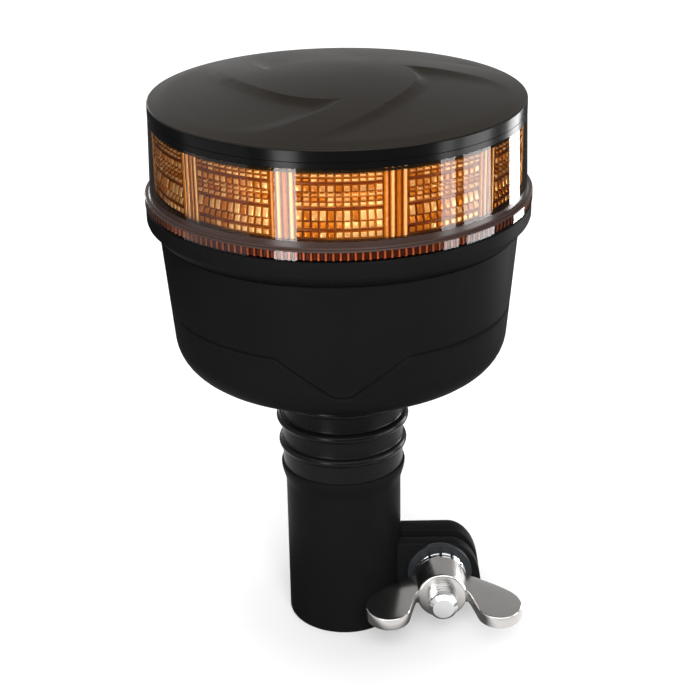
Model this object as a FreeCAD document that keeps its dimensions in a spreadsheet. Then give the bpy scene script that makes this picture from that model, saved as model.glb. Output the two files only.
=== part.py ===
"""LED beacon on a flexible pole socket, built as an assembly of separate pieces.

Frame: millimetres, +Z up, origin at the middle of the socket's bottom edge, which the beacon stands on.
The clamp ears point towards +X, and the wing nut towards -Y.
"""
import FreeCAD, Part
import math
import os
import re
import Sketcher
from FreeCAD import Placement, Rotation, Vector

# Driving dimensions, in millimetres and degrees
SIZES = {
    # Fits
    "pole_clearance": 0.1,
    "slip_gap": 0.1,
    "hole_gap": 0.3,
    # Pole socket and its split clamp
    "pole_diameter": 24,
    "stop_depth": 17.6,
    "stop_ledge": 3,
    "stop_opening": 9,
    "socket_radius": 20,
    "socket_height": 60.6,
    "socket_flare": 1.9,
    "socket_flare_height": 8,
    "socket_edge_round": 1.6,
    "chamber_radius": 10.5,
    "spigot_radius": 14,
    "spigot_height": 6,
    "slit_width": 4.7,
    "slit_height": 36,
    "ear_reach": 48.5,
    "ear_bottom": 4,
    "ear_top": 29,
    "ear_top_round": 10.5,
    "ear_bottom_round": 5,
    "front_ear": 5,
    "back_ear": 7,
    # Clamp bolt, washers and wing nut
    "bolt_x": 33.5,
    "bolt_z": 18,
    "bolt_diameter": 10,
    "bolt_reach": 32.5,
    "bolt_chamfer": 1.6,
    "bolt_head_radius": 10,
    "bolt_head_height": 5,
    "bolt_square": 10,
    "bolt_square_depth": 4,
    "disc_radius": 11.4,
    "disc_thickness": 2,
    "tooth_ring_radius": 9.3,
    "tooth_ring_thickness": 4,
    "tooth_notch": 1,
    "tooth_notch_depth": 1.3,
    "nut_base_radius": 9.1,
    "nut_top_radius": 8.5,
    "nut_height": 10.6,
    "wing_tip_x": 19.3,
    "wing_tip_rise": 20,
    "wing_tip_radius": 7.3,
    "wing_thickness": 4.4,
    "wing_edge_round": 0.7,
    "wing_lean": 52,
    "wing_crown_angle": 60,
    "wing_inner_angle": 170,
    "wing_root_bend": 16,
    # Flexible neck
    "rib_pitch": 9.4,
    "rib_overhang": 2.6,
    "rib_foot_step": 0.8,
    "rib_step": 0.7,
    "neck_collar_step": 0.5,
    "rib_round": 1.2,
    "groove_width": 1.2,
    "groove_depth": 1.6,
    "neck_bend": 7,
    "neck_core_radius": 9,
    "bend_margin": 0.4,
    "bend_play": 0.15,
    "lead_hole_radius": 4,
    "neck_upper_length": 20.6,
    "neck_flange_width": 4,
    "neck_flange_thickness": 3,
    "neck_ring_gap": 2.5,
    "neck_ring_thickness": 2,
    "neck_screw_edge": 3.5,
    "neck_screw_angle": 45,
    "neck_boss_radius": 3,
    "neck_boss_gap": 1,
    # Drum housing
    "floor_thickness": 3,
    "wall_thickness": 2.6,
    "drum_taper": 4.1,
    "drum_round": 12,
    "collar_step": 3.8,
    "crease_height": 47.6,
    "collar_inset": 0.2,
    "collar_chamfer": 4.6,
    "collar_height": 5,
    "vee_height": 22,
    "vee_dip": 12.6,
    "vee_half_width": 20.4,
    "vee_flat": 2.4,
    "vee_groove": 1.2,
    "vee_depth": 0.6,
    "boss_root": 1.5,
    "boss_gap": 0.4,
    "tie_angle": 90,
    "tie_boss_radius": 5,
    "tie_head_depth": 5,
    "standoff_circle": 34,
    "standoff_angle": 30,
    "standoff_radius": 3.5,
    "standoff_height": 14,
    # Screws
    "small_screw_radius": 1.5,
    "small_head_radius": 2.75,
    "small_head_height": 2,
    "small_screw_bite": 5,
    "tie_screw_radius": 2,
    "tie_head_radius": 3.8,
    "tie_head_height": 3.6,
    "tie_screw_bite": 6,
    # Driver board
    "board_gap": 7.9,
    "boss_clearance": 0.8,
    "board_thickness": 1.6,
    "capacitor_x": 13,
    "capacitor_radius": 5,
    "capacitor_height": 14,
    "inductor_y": 14,
    "inductor_radius": 6.5,
    "inductor_waist": 5.2,
    "inductor_height": 8,
    "inductor_cheek": 1.6,
    "regulator_y": 14,
    "regulator_width": 12,
    "regulator_depth": 8,
    "regulator_height": 4,
    # Lens and seals
    "lens_radius": 60.9,
    "lens_taper": 0.7,
    "lens_wall": 2.8,
    "lens_height": 26.2,
    "lens_flange_width": 1.7,
    "lens_flange_height": 3.5,
    "gasket_margin": 1.4,
    "gasket_width": 1.8,
    "gasket_thickness": 1.2,
    # Light engine
    "carrier_lift": 0.8,
    "carrier_wall": 4,
    "carrier_plate": 2.5,
    "carrier_headroom": 0.8,
    "carrier_opening": 20,
    "strip_thickness": 1,
    "strip_margin": 1.5,
    "emitter_size": 3.6,
    "emitter_height": 1.4,
    "emitter_spacing": 7,
    "optic_gap": 1,
    "optic_depth": 11.4,
    "optic_half_angle": 15,
    "optic_margin": 0.6,
    "optic_pocket_width": 20,
    "optic_pocket_height": 8,
    "optic_pocket_depth": 2.4,
    # Cap
    "cap_rim_height": 7,
    "cap_bevel": 0.7,
    "cap_seal_margin": 0.7,
    "cap_seal_thickness": 0.7,
    "cap_ceiling": 5.6,
    "cap_lip_thickness": 2.2,
    "cap_line_height": 2.4,
    "cap_line_width": 0.5,
    "cap_line_depth": 0.4,
    "cap_boss_radius": 3.6,
    "cap_boss_drop": 2,
    "cap_boss_root": 0.7,
    "dome_height": 6.4,
    "scoop_depth": 2,
    "scoop_rim": 4.5,
    "scoop_tip_radius": 25.2,
    "scoop_tip_angle": 34,
    "scoop_turn_angle": -20,
    "scoop_lead_angle": -8,
    "scoop_trail_angle": -106,
    "scoop_lead_bend": 52,
    "scoop_trail_bend": 66,
    # Contacts
    "block_height": 10,
    "block_floor": 3,
    "lid_thickness": 2,
    "lid_hole_radius": 2,
    "plunger_radius": 2.5,
    "plunger_collar_radius": 3.8,
    "plunger_collar": 1.6,
    "plunger_stub_radius": 1.7,
    "plunger_stub": 2.5,
    "spring_chamber_radius": 4.3,
    "spring_radius": 3,
    "spring_wire": 0.7,
    "spring_turns": 3,
    "ring_contact_radius": 8,
    "ring_contact_width": 2.4,
    "ring_contact_thickness": 1.2,
    "ring_contact_stand": 0.4,
}

PANELS = 11
PANEL_ANGLE = 360 / PANELS
SCOOPS = 3
TIE_SCREWS = 3
NECK_SCREWS = 4
TEETH = 14
CAPACITORS = 2
EMITTERS = 3

# Sizes and places worked out from those above, which expressions use by name as well
DERIVED = {
    "pole_bore": "pole_diameter / 2 + pole_clearance",
    "pole_stop": "socket_height - stop_depth",
    "block_seat": "pole_stop + stop_ledge",
    "spring_room": "block_height - block_floor - plunger_collar",
    "front_face": "slit_width / 2 + front_ear",
    "back_face": "slit_width / 2 + back_ear",
    "ring_seat": "front_face + disc_thickness",
    "nut_seat": "ring_seat + tooth_ring_thickness",
    "bolt_hole": "bolt_diameter / 2 + hole_gap",
    "flare_radius": "socket_radius + socket_flare",
    "rib_foot_radius": "socket_radius + rib_foot_step",
    "rib_lower_radius": "socket_radius + rib_overhang",
    "rib_middle_radius": "rib_lower_radius + rib_step",
    "rib_upper_radius": "rib_middle_radius + rib_step",
    "neck_collar_radius": "rib_upper_radius + neck_collar_step",
    "lower_bend": "socket_height + rib_pitch",
    "upper_bend": "lower_bend + rib_pitch",
    "bend_slope": "tan(neck_bend / 2 + bend_margin)",
    "floor_height": "upper_bend + neck_upper_length",
    "neck_ring_seat": "floor_height + floor_thickness + neck_flange_thickness",
    "lens_top_radius": "lens_radius - lens_taper",
    "lens_inner_radius": "lens_top_radius - lens_wall",
    "lens_flange_radius": "lens_radius + lens_flange_width",
    "collar_radius": "lens_flange_radius - collar_inset",
    "crease_radius": "collar_radius - collar_step",
    "drum_bottom_radius": "crease_radius - drum_taper",
    "gasket_inner_radius": "lens_inner_radius + gasket_margin",
    "housing_height": "crease_height + collar_chamfer + collar_height",
    "lens_seat": "floor_height + housing_height",
    "cap_seat": "lens_seat + lens_height",
    "board_seat": "floor_height + floor_thickness + standoff_height",
    "board_top": "board_seat + board_thickness",
    "board_radius": "drum_bottom_radius - wall_thickness - board_gap",
    "optic_reach": "lens_inner_radius - optic_gap",
    "strip_face": "optic_reach - optic_depth",
    "carrier_apothem": "strip_face - strip_thickness",
    "carrier_inner_radius": "carrier_apothem - carrier_wall",
    "carrier_seat": "lens_seat + carrier_lift",
    "carrier_height": "lens_height - carrier_lift - carrier_headroom",
    "optic_height": "carrier_height - carrier_plate - 2 * optic_margin",
    "tie_circle": "carrier_inner_radius - cap_boss_radius - boss_gap",
    "tie_hole": "tie_screw_radius + hole_gap",
    "neck_ring_radius": "tie_circle - tie_boss_radius - neck_ring_gap",
    "neck_screw_circle": "neck_ring_radius - neck_screw_edge",
    "neck_flange_radius": "neck_screw_circle - neck_boss_radius - neck_boss_gap",
    "neck_waist_radius": "neck_flange_radius - neck_flange_width",
    "tie_length": "housing_height + lens_height - cap_boss_drop + tie_screw_bite - tie_head_depth",
    "small_hole": "small_screw_radius + slip_gap",
    "cap_radius": "lens_top_radius",
    "cap_shoulder": "cap_radius - cap_bevel",
    "cap_lip_depth": "carrier_headroom + optic_margin - boss_gap",
    "dome_radius": "(cap_shoulder ^ 2 + dome_height ^ 2) / (2 * dome_height)",
    "scoop_end_radius": "cap_shoulder - scoop_rim",
}

TIE_SPOT = ("tie_circle * cos(tie_angle)", "tie_circle * sin(tie_angle)")
NECK_SCREW_SPOT = ("neck_screw_circle * cos(neck_screw_angle)", "neck_screw_circle * sin(neck_screw_angle)")
STANDOFF_SPOT = ("standoff_circle * cos(standoff_angle)", "standoff_circle * sin(standoff_angle)")

doc = FreeCAD.newDocument("LedBeacon")
sheet = doc.addObject("Spreadsheet::Sheet", "Sizes")
nodes = []


def fill_sheet():
    """Write every driving dimension into its own named cell."""
    for row, (alias, value) in enumerate(SIZES.items(), 1):
        sheet.set(f"A{row}", alias)
        sheet.set(f"B{row}", str(value))
        sheet.setAlias(f"B{row}", alias)
    doc.recompute()


def cells(expression):
    """The same expression with dimensions turned into their cells, and derived names worked out."""
    def worked_out(word):
        name = word[0]
        if name in DERIVED:
            return f"({cells(DERIVED[name])})"
        return f"Sizes.{name}" if name in SIZES else name

    return re.sub(r"[a-z_]+", worked_out, expression)


def size(expression):
    """Present value of an expression."""
    return float(sheet.evalExpression(cells(expression)))


def bind(feature, **properties):
    """Bind properties of a feature to expressions; two underscores stand for a dot."""
    for path, expression in properties.items():
        feature.setExpression(path.replace("__", "."), cells(expression))


# Sketches


def origin_feature(body, role):
    """The body's own origin plane or axis of that role."""
    return next(item for item in body.Origin.OriginFeatures if item.Role == role)


def new_sketch(body, plane="XY_Plane", height="0"):
    """Sketch on one of the body's origin planes, lifted along the plane's normal."""
    sketch = body.newObject("Sketcher::SketchObject", f"{body.Name}_sketch")
    sketch.AttachmentSupport = (origin_feature(body, plane), [""])
    sketch.MapMode = "FlatFace"
    bind(sketch, AttachmentOffset__Base__z=height)
    return sketch


def pin(sketch, geometry, point, across, along):
    """Hold a sketch point at two expressions of the dimensions."""
    for kind, axis, expression in (("DistanceX", -2, across), ("DistanceY", -1, along)):
        if expression == "0":
            sketch.addConstraint(Sketcher.Constraint("PointOnObject", geometry, point, axis))
        else:
            value = size(expression)
            number = sketch.addConstraint(Sketcher.Constraint(kind, -1, 1, geometry, point, value))
            bind(sketch, **{f"Constraints[{number}]": expression})


def set_radius(sketch, geometry, expression):
    """Hold the radius of a circle or arc."""
    number = sketch.addConstraint(Sketcher.Constraint("Radius", geometry, abs(size(expression))))
    bind(sketch, **{f"Constraints[{number}]": f"abs({expression})"})


def add_arc(sketch, start, end, bend):
    """Arc between two points, turning left where its signed radius is positive, with its two end numbers."""
    radius = size(bend)
    half = (end - start) * 0.5
    left = Vector(-half.y, half.x, 0).normalize()
    rise = math.sqrt(max(radius * radius - half.Length ** 2, 0))
    circle = Part.Circle(start + half + left * math.copysign(rise, radius), Vector(0, 0, 1), abs(radius))
    first, last = (start, end) if radius > 0 else (end, start)
    arc = Part.ArcOfCircle(circle, circle.parameter(first), circle.parameter(last))
    geometry = sketch.addGeometry(arc, False)
    set_radius(sketch, geometry, bend)
    return (geometry, 1, 2) if radius > 0 else (geometry, 2, 1)


def outline(sketch, corners, arcs=None):
    """Closed outline through corners; arcs maps the number of a side's first corner to its signed radius."""
    points = [Vector(size(across), size(along), 0) for across, along in corners]
    sides = []
    for number, start in enumerate(points):
        end = points[(number + 1) % len(points)]
        if arcs and number in arcs:
            sides.append(add_arc(sketch, start, end, arcs[number]))
        else:
            sides.append((sketch.addGeometry(Part.LineSegment(start, end), False), 1, 2))
    for number, (geometry, first, last) in enumerate(sides):
        following, its_first, _ = sides[(number + 1) % len(sides)]
        sketch.addConstraint(Sketcher.Constraint("Coincident", geometry, last, following, its_first))
        pin(sketch, geometry, first, *corners[number])


def circle(sketch, radius, across="0", along="0"):
    """Circle with its centre held at two expressions."""
    centre = Vector(size(across), size(along), 0)
    geometry = sketch.addGeometry(Part.Circle(centre, Vector(0, 0, 1), size(radius)), False)
    pin(sketch, geometry, 3, across, along)
    set_radius(sketch, geometry, radius)


def rectangle(left, right, low, high):
    """Corners of a rectangle."""
    return [(left, low), (right, low), (right, high), (left, high)]


def polygon(apothem):
    """Corners of the panel polygon, with one flat towards -Y."""
    reach = f"({apothem}) / cos({PANEL_ANGLE / 2})"
    turns = [PANEL_ANGLE * (number + 0.5) - 90 for number in range(PANELS)]
    return [(f"{reach} * cos({turn})", f"{reach} * sin({turn})") for turn in turns]


def polar(radius, angle):
    """A point at a radius and an angle."""
    return f"({radius}) * cos({angle})", f"({radius}) * sin({angle})"


# Solid features


def new_body(label, height="0"):
    """Body of a sub-part, seated at a height."""
    body = doc.addObject("PartDesign::Body", label)
    body.Label = label
    bind(body, Placement__Base__z=height)
    return body


def keep(piece, label):
    """Name a finished sub-part and list it as a node."""
    piece.Label = label
    nodes.append(piece)
    return piece


def revolve(body, corners, arcs=None):
    """Turn a half section of radius and height about the body's Z axis."""
    sketch = new_sketch(body, "XZ_Plane")
    outline(sketch, corners, arcs)
    feature = body.newObject("PartDesign::Revolution", f"{body.Name}_turned")
    feature.Profile = sketch
    feature.ReferenceAxis = (sketch, ["V_Axis"])
    feature.Angle = 360
    doc.recompute()
    return feature


def pad(body, sketch, length, both_sides=False, back=False):
    """Extrude a sketch."""
    feature = body.newObject("PartDesign::Pad", f"{body.Name}_pad")
    feature.Profile = sketch
    feature.SideType = "Symmetric" if both_sides else "One side"
    feature.Reversed = back
    bind(feature, Length=length)
    doc.recompute()
    return feature


def pocket(body, sketch, length, up=False):
    """Cut along a sketch's normal, downwards unless told otherwise."""
    feature = body.newObject("PartDesign::Pocket", f"{body.Name}_pocket")
    feature.Profile = sketch
    feature.Reversed = up
    bind(feature, Length=length)
    doc.recompute()
    return feature


def around(body, features, count):
    """Repeat features evenly about the body's Z axis."""
    pattern = body.newObject("PartDesign::PolarPattern", f"{body.Name}_pattern")
    pattern.Originals = features
    pattern.Axis = (origin_feature(body, "Z_Axis"), [""])
    pattern.Angle = 360
    pattern.Occurrences = count
    body.Tip = pattern
    doc.recompute()
    return pattern


def round_rings(body, rings, radius):
    """Round the circular edges of the given radius and height."""
    places = [(size(ring), size(height)) for ring, height in rings]

    def wanted(edge):
        curve = edge.Curve
        if not isinstance(curve, Part.Circle) or Vector(curve.Center.x, curve.Center.y, 0).Length > 1e-6:
            return False
        return any(math.hypot(curve.Radius - r, curve.Center.z - z) < 1e-4 for r, z in places)

    base = body.Tip
    edges = base.Shape.Edges
    feature = body.newObject("PartDesign::Fillet", f"{body.Name}_round")
    feature.Base = (base, [f"Edge{number}" for number, edge in enumerate(edges, 1) if wanted(edge)])
    bind(feature, Radius=radius)
    doc.recompute()
    return feature


def turned_piece(label, corners, height="0"):
    """Node that is one turned solid."""
    body = new_body(label, height)
    revolve(body, corners)
    return keep(body, label)


def screws(label, height, spot, count, head, shank):
    """Set of equal screws about the axis; head and shank are radius, lower end and upper end."""
    body = new_body(label, height)
    parts = []
    for radius, low, high in (head, shank):
        sketch = new_sketch(body, height=low)
        circle(sketch, radius, *spot)
        parts.append(pad(body, sketch, f"({high}) - ({low})"))
    around(body, parts, count)
    return keep(body, label)


def boss_ring(body, spot, radius, low, high, count):
    """Ring of equal round bosses."""
    sketch = new_sketch(body, height=low)
    circle(sketch, radius, *spot)
    return around(body, [pad(body, sketch, f"({high}) - ({low})")], count)


def hole_ring(body, spot, radius, low, high, count):
    """Ring of equal round holes."""
    sketch = new_sketch(body, height=low)
    circle(sketch, radius, *spot)
    return around(body, [pocket(body, sketch, f"({high}) - ({low})", up=True)], count)


def along_bolt(piece):
    """Stand a piece that was made about +Z on the clamp bolt's axis, with its +Z towards -Y."""
    piece.Placement = Placement(Vector(), Rotation(Vector(1, 0, 0), 90))
    bind(piece, Placement__Base__x="bolt_x", Placement__Base__z="bolt_z")
    return piece


# Pole socket and clamp


def pole_socket():
    """Tube with a flared top, the pole bore, the stop ledge, the contact chamber and the split clamp ears."""
    body = new_body("pole_socket")
    revolve(body, [
        ("pole_bore", "0"), ("socket_radius", "0"),
        ("socket_radius", "socket_height - socket_flare_height"), ("flare_radius", "socket_height"),
        ("spigot_radius", "socket_height"),
        ("spigot_radius", "socket_height + spigot_height"),
        ("chamber_radius", "socket_height + spigot_height"),
        ("chamber_radius", "block_seat"), ("stop_opening", "block_seat"),
        ("stop_opening", "pole_stop"), ("pole_bore", "pole_stop"),
    ])
    round_rings(body, [("socket_radius", "0"), ("flare_radius", "socket_height")], "socket_edge_round")
    root = "(pole_bore + socket_radius) / 2"
    ears = new_sketch(body, "XZ_Plane", "-back_face")
    outline(ears, [
        (root, "ear_bottom"), ("ear_reach - ear_bottom_round", "ear_bottom"),
        ("ear_reach", "ear_bottom + ear_bottom_round"), ("ear_reach", "ear_top - ear_top_round"),
        ("ear_reach - ear_top_round", "ear_top"), (root, "ear_top"),
    ], {1: "ear_bottom_round", 3: "ear_top_round"})
    pad(body, ears, "front_face + back_face")
    slit = new_sketch(body)
    outline(slit, rectangle("0", "ear_reach + slit_width", "-slit_width / 2", "slit_width / 2"))
    pocket(body, slit, "slit_height", up=True)
    bolt_hole = new_sketch(body, "XZ_Plane", "-back_face")
    circle(bolt_hole, "bolt_hole", "bolt_x", "bolt_z")
    pocket(body, bolt_hole, "front_face + back_face", up=True)
    square_hole = new_sketch(body, "XZ_Plane", "-back_face")
    half = "(bolt_square / 2 + hole_gap)"
    outline(square_hole, rectangle(f"bolt_x - {half}", f"bolt_x + {half}",
                                   f"bolt_z - {half}", f"bolt_z + {half}"))
    pocket(body, square_hole, "bolt_square_depth + hole_gap", up=True)
    return keep(body, "pole_socket")


def clamp_bolt():
    """Round-headed bolt with a square neck, through both ears."""
    body = new_body("clamp_bolt")
    shank = "bolt_diameter / 2"
    revolve(body, [
        ("0", "-back_face - bolt_head_height"), ("bolt_head_radius", "-back_face"),
        (shank, "-back_face"), (shank, "bolt_reach - bolt_chamfer"),
        (f"{shank} - bolt_chamfer", "bolt_reach"), ("0", "bolt_reach"),
    ], {0: "(bolt_head_radius ^ 2 + bolt_head_height ^ 2) / (2 * bolt_head_height)"})
    square = new_sketch(body, height="-back_face")
    outline(square, rectangle("-bolt_square / 2", "bolt_square / 2", "-bolt_square / 2", "bolt_square / 2"))
    pad(body, square, "bolt_square_depth")
    return keep(along_bolt(body), "clamp_bolt")


def disc_washer():
    """Plain disc between the front ear and the toothed ring."""
    body = new_body("disc_washer")
    revolve(body, rectangle("bolt_hole", "disc_radius", "front_face", "ring_seat"))
    return keep(along_bolt(body), "disc_washer")


def tooth_ring():
    """Lock ring whose rim is cut into short teeth."""
    body = new_body("tooth_ring")
    revolve(body, rectangle("bolt_hole", "tooth_ring_radius", "ring_seat", "nut_seat"))
    notch = new_sketch(body, height="ring_seat")
    floor = "tooth_ring_radius - tooth_notch_depth"
    outline(notch, rectangle(floor, "tooth_ring_radius + tooth_notch", "-tooth_notch / 2", "tooth_notch / 2"))
    around(body, [pocket(body, notch, "tooth_ring_thickness", up=True)], TEETH)
    return keep(along_bolt(body), "tooth_ring")


def wing_nut():
    """Tapered boss with two rounded wings that lean out and forwards, bored for the bolt."""
    body = new_body("wing_nut")
    boss_top = "(nut_seat + nut_height)"
    revolve(body, [
        ("0", "nut_seat"), ("nut_base_radius", "nut_seat"), ("nut_top_radius", boss_top), ("0", boss_top),
    ])
    tip_z = "(nut_seat + wing_tip_rise)"
    across, down = polar("wing_tip_radius", "wing_lean")
    shoulder = (f"wing_tip_x + {across}", f"{tip_z} - {down}")
    heel_z = "(nut_seat + wing_edge_round)"
    inner = "nut_top_radius / 2"

    def on_tip(angle):
        across, along = polar("wing_tip_radius", angle)
        return f"wing_tip_x + {across}", f"{tip_z} + {along}"

    wing = new_sketch(body, "XZ_Plane")
    outline(wing, [
        (inner, heel_z), (f"{shoulder[0]} - ({shoulder[1]} - {heel_z}) / tan(90 - wing_lean)", heel_z),
        shoulder, on_tip("wing_crown_angle"), on_tip("wing_inner_angle"),
        ("nut_top_radius - wing_edge_round", f"{boss_top} - wing_edge_round"),
        (inner, f"{boss_top} - wing_edge_round"),
    ], {2: "wing_tip_radius", 3: "wing_tip_radius", 4: "-wing_root_bend"})
    right = pad(body, wing, "wing_thickness", both_sides=True)
    left = body.newObject("PartDesign::Mirrored", "wing_nut_left")
    left.Originals = [right]
    left.MirrorPlane = (origin_feature(body, "YZ_Plane"), [""])
    body.Tip = left
    doc.recompute()
    round_wing_edges(body)
    bore = new_sketch(body, height="nut_seat")
    circle(bore, "bolt_diameter / 2 + slip_gap")
    pocket(body, bore, "nut_height", up=True)
    return keep(along_bolt(body), "wing_nut")


def round_wing_edges(body):
    """Round the long rims on both faces of the wings, outside the boss."""
    half = size("wing_thickness / 2")
    boss = size("nut_base_radius")

    def rim(edge):
        ends = [vertex.Point for vertex in edge.Vertexes]
        flat = all(abs(abs(point.y) - half) < 1e-6 for point in ends)
        return flat and len(ends) == 2 and max(abs(point.x) for point in ends) > boss

    base = body.Tip
    names = [f"Edge{number}" for number, edge in enumerate(base.Shape.Edges, 1) if rim(edge)]
    feature = body.newObject("PartDesign::Fillet", "wing_nut_round")
    feature.Base = (base, names)
    bind(feature, Radius="wing_edge_round")
    doc.recompute()


# Contacts inside the socket


def contact_block():
    """Insulator on the stop ledge, bored for the plunger and its spring."""
    body = new_body("contact_block", "block_seat")
    groove_outer = "ring_contact_radius + slip_gap"
    groove_inner = "ring_contact_radius - ring_contact_width - slip_gap"
    groove = "ring_contact_thickness - ring_contact_stand"
    revolve(body, [
        ("plunger_radius + slip_gap", "0"), (groove_inner, "0"), (groove_inner, groove),
        (groove_outer, groove), (groove_outer, "0"), ("chamber_radius - slip_gap", "0"),
        ("chamber_radius - slip_gap", "block_height"), ("spring_chamber_radius", "block_height"),
        ("spring_chamber_radius", "block_floor"), ("plunger_radius + slip_gap", "block_floor"),
    ])
    return keep(body, "contact_block")


def contacts():
    """Lid, plunger, coil spring and earth ring of the contact block."""
    lid = rectangle("lid_hole_radius", "chamber_radius - slip_gap", "0", "lid_thickness")
    turned_piece("contact_lid", lid, "block_seat + block_height")
    collar_top = "block_floor + plunger_collar"
    turned_piece("centre_contact", [
        ("0", "-stop_ledge"), ("plunger_radius", "-stop_ledge"), ("plunger_radius", "block_floor"),
        ("plunger_collar_radius", "block_floor"), ("plunger_collar_radius", collar_top),
        ("plunger_stub_radius", collar_top), ("plunger_stub_radius", f"{collar_top} + plunger_stub"),
        ("0", f"{collar_top} + plunger_stub"),
    ], "block_seat")
    spring = new_body("contact_spring", f"block_seat + {collar_top}")
    wire = new_sketch(spring, "XZ_Plane")
    circle(wire, "spring_wire / 2", "spring_radius", "spring_wire / 2 + slip_gap")
    coil = spring.newObject("PartDesign::AdditiveHelix", "contact_spring_coil")
    coil.Profile = wire
    coil.ReferenceAxis = (wire, ["V_Axis"])
    coil.Mode = "height-turns-angle"
    bind(coil, Height="spring_room - spring_wire - 2 * slip_gap", Turns="spring_turns")
    doc.recompute()
    keep(spring, "contact_spring")
    inner = "ring_contact_radius - ring_contact_width"
    turned_piece("ring_contact", rectangle(inner, "ring_contact_radius", "-ring_contact_stand",
                                      "ring_contact_thickness - ring_contact_stand"), "block_seat")


# Flexible neck, in three ribbed lengths that meet at its two bends


def bend_gap(radius):
    """Half the height of a bend's wedge-shaped gap, at a radius."""
    return f"(bend_play + ({radius}) * bend_slope)"


def core(radius, pivot, side):
    """Edge points of the round core about a bend's pivot, from its bore to the wedge on that side."""
    lean = "(neck_bend / 2 + 2 * bend_margin)"
    bore = ("lead_hole_radius", f"{pivot} + sqrt(({radius}) ^ 2 - lead_hole_radius ^ 2)")
    return bore, (f"({radius}) * cos({lean})", f"{pivot} {side} ({radius}) * sin({lean})")


def neck_lower():
    """Lowest cup-shaped rib, seated over the socket's spigot, with the core of the lower bend on top."""
    body = new_body("neck_lower", "socket_height")
    seat = "spigot_radius + slip_gap"
    roof = "spigot_height + slip_gap"
    rim_top = f"rib_pitch - {bend_gap('rib_lower_radius')}"
    core_bore, core_foot = core("neck_core_radius", "rib_pitch", "-")
    revolve(body, [
        (seat, "0"), ("rib_foot_radius", "0"), ("rib_lower_radius", rim_top), core_foot, core_bore,
        ("lead_hole_radius", roof), (seat, roof),
    ], {3: "neck_core_radius"})
    round_rings(body, [("rib_foot_radius", "0"), ("rib_lower_radius", rim_top)], "rib_round")
    return keep(body, "neck_lower")


def neck_middle():
    """Middle rib, hollow over the lower bend's core, with the upper bend's core on top."""
    body = new_body("neck_middle", "lower_bend")
    rim_low = bend_gap("rib_foot_radius")
    rim_top = f"rib_pitch - {bend_gap('rib_middle_radius')}"
    hollow = "(neck_core_radius + bend_play)"
    hollow_bore, hollow_foot = core(hollow, "0", "+")
    core_bore, core_foot = core("neck_core_radius", "rib_pitch", "-")
    revolve(body, [
        hollow_bore, hollow_foot, ("rib_foot_radius", rim_low), ("rib_middle_radius", rim_top),
        core_foot, core_bore,
    ], {0: f"-{hollow}", 4: "neck_core_radius"})
    round_rings(body, [("rib_foot_radius", rim_low), ("rib_middle_radius", rim_top)], "rib_round")
    return keep(body, "neck_middle")


def neck_upper():
    """Top rib and collar, with the waist and flange that hold it in the drum's floor."""
    body = new_body("neck_upper", "upper_bend")
    rim = bend_gap("rib_foot_radius")
    waist = "rib_foot_radius - groove_depth"
    rib_top = "rib_pitch - groove_width / 2"
    collar_low = "rib_pitch + groove_width / 2"
    flange_low = "neck_upper_length + floor_thickness"
    flange_top = f"{flange_low} + neck_flange_thickness"
    hollow = "(neck_core_radius + bend_play)"
    hollow_bore, hollow_foot = core(hollow, "0", "+")
    revolve(body, [
        hollow_bore, hollow_foot, ("rib_foot_radius", rim),
        ("rib_upper_radius", rib_top), (waist, rib_top), (waist, collar_low),
        ("rib_foot_radius", collar_low), ("neck_collar_radius", "neck_upper_length"),
        ("neck_waist_radius", "neck_upper_length"), ("neck_waist_radius", flange_low),
        ("neck_flange_radius", flange_low), ("neck_flange_radius", flange_top),
        ("lead_hole_radius", flange_top),
    ], {0: f"-{hollow}"})
    edges = [("rib_foot_radius", rim), ("rib_upper_radius", rib_top), ("rib_foot_radius", collar_low)]
    round_rings(body, edges, "rib_round")
    return keep(body, "neck_upper")


def neck_fixing():
    """Steel ring over the neck's flange, and its screws into the drum's floor."""
    body = new_body("neck_ring", "neck_ring_seat")
    revolve(body, rectangle("lead_hole_radius", "neck_ring_radius", "0", "neck_ring_thickness"))
    hole_ring(body, NECK_SCREW_SPOT, "small_screw_radius + hole_gap", "0", "neck_ring_thickness", NECK_SCREWS)
    keep(body, "neck_ring")
    under_head = "neck_ring_thickness"
    screws("neck_screws", "neck_ring_seat", NECK_SCREW_SPOT, NECK_SCREWS,
           ("small_head_radius", under_head, f"{under_head} + small_head_height"),
           ("small_screw_radius", "-small_screw_bite", under_head))


# Drum housing and its electronics


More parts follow.
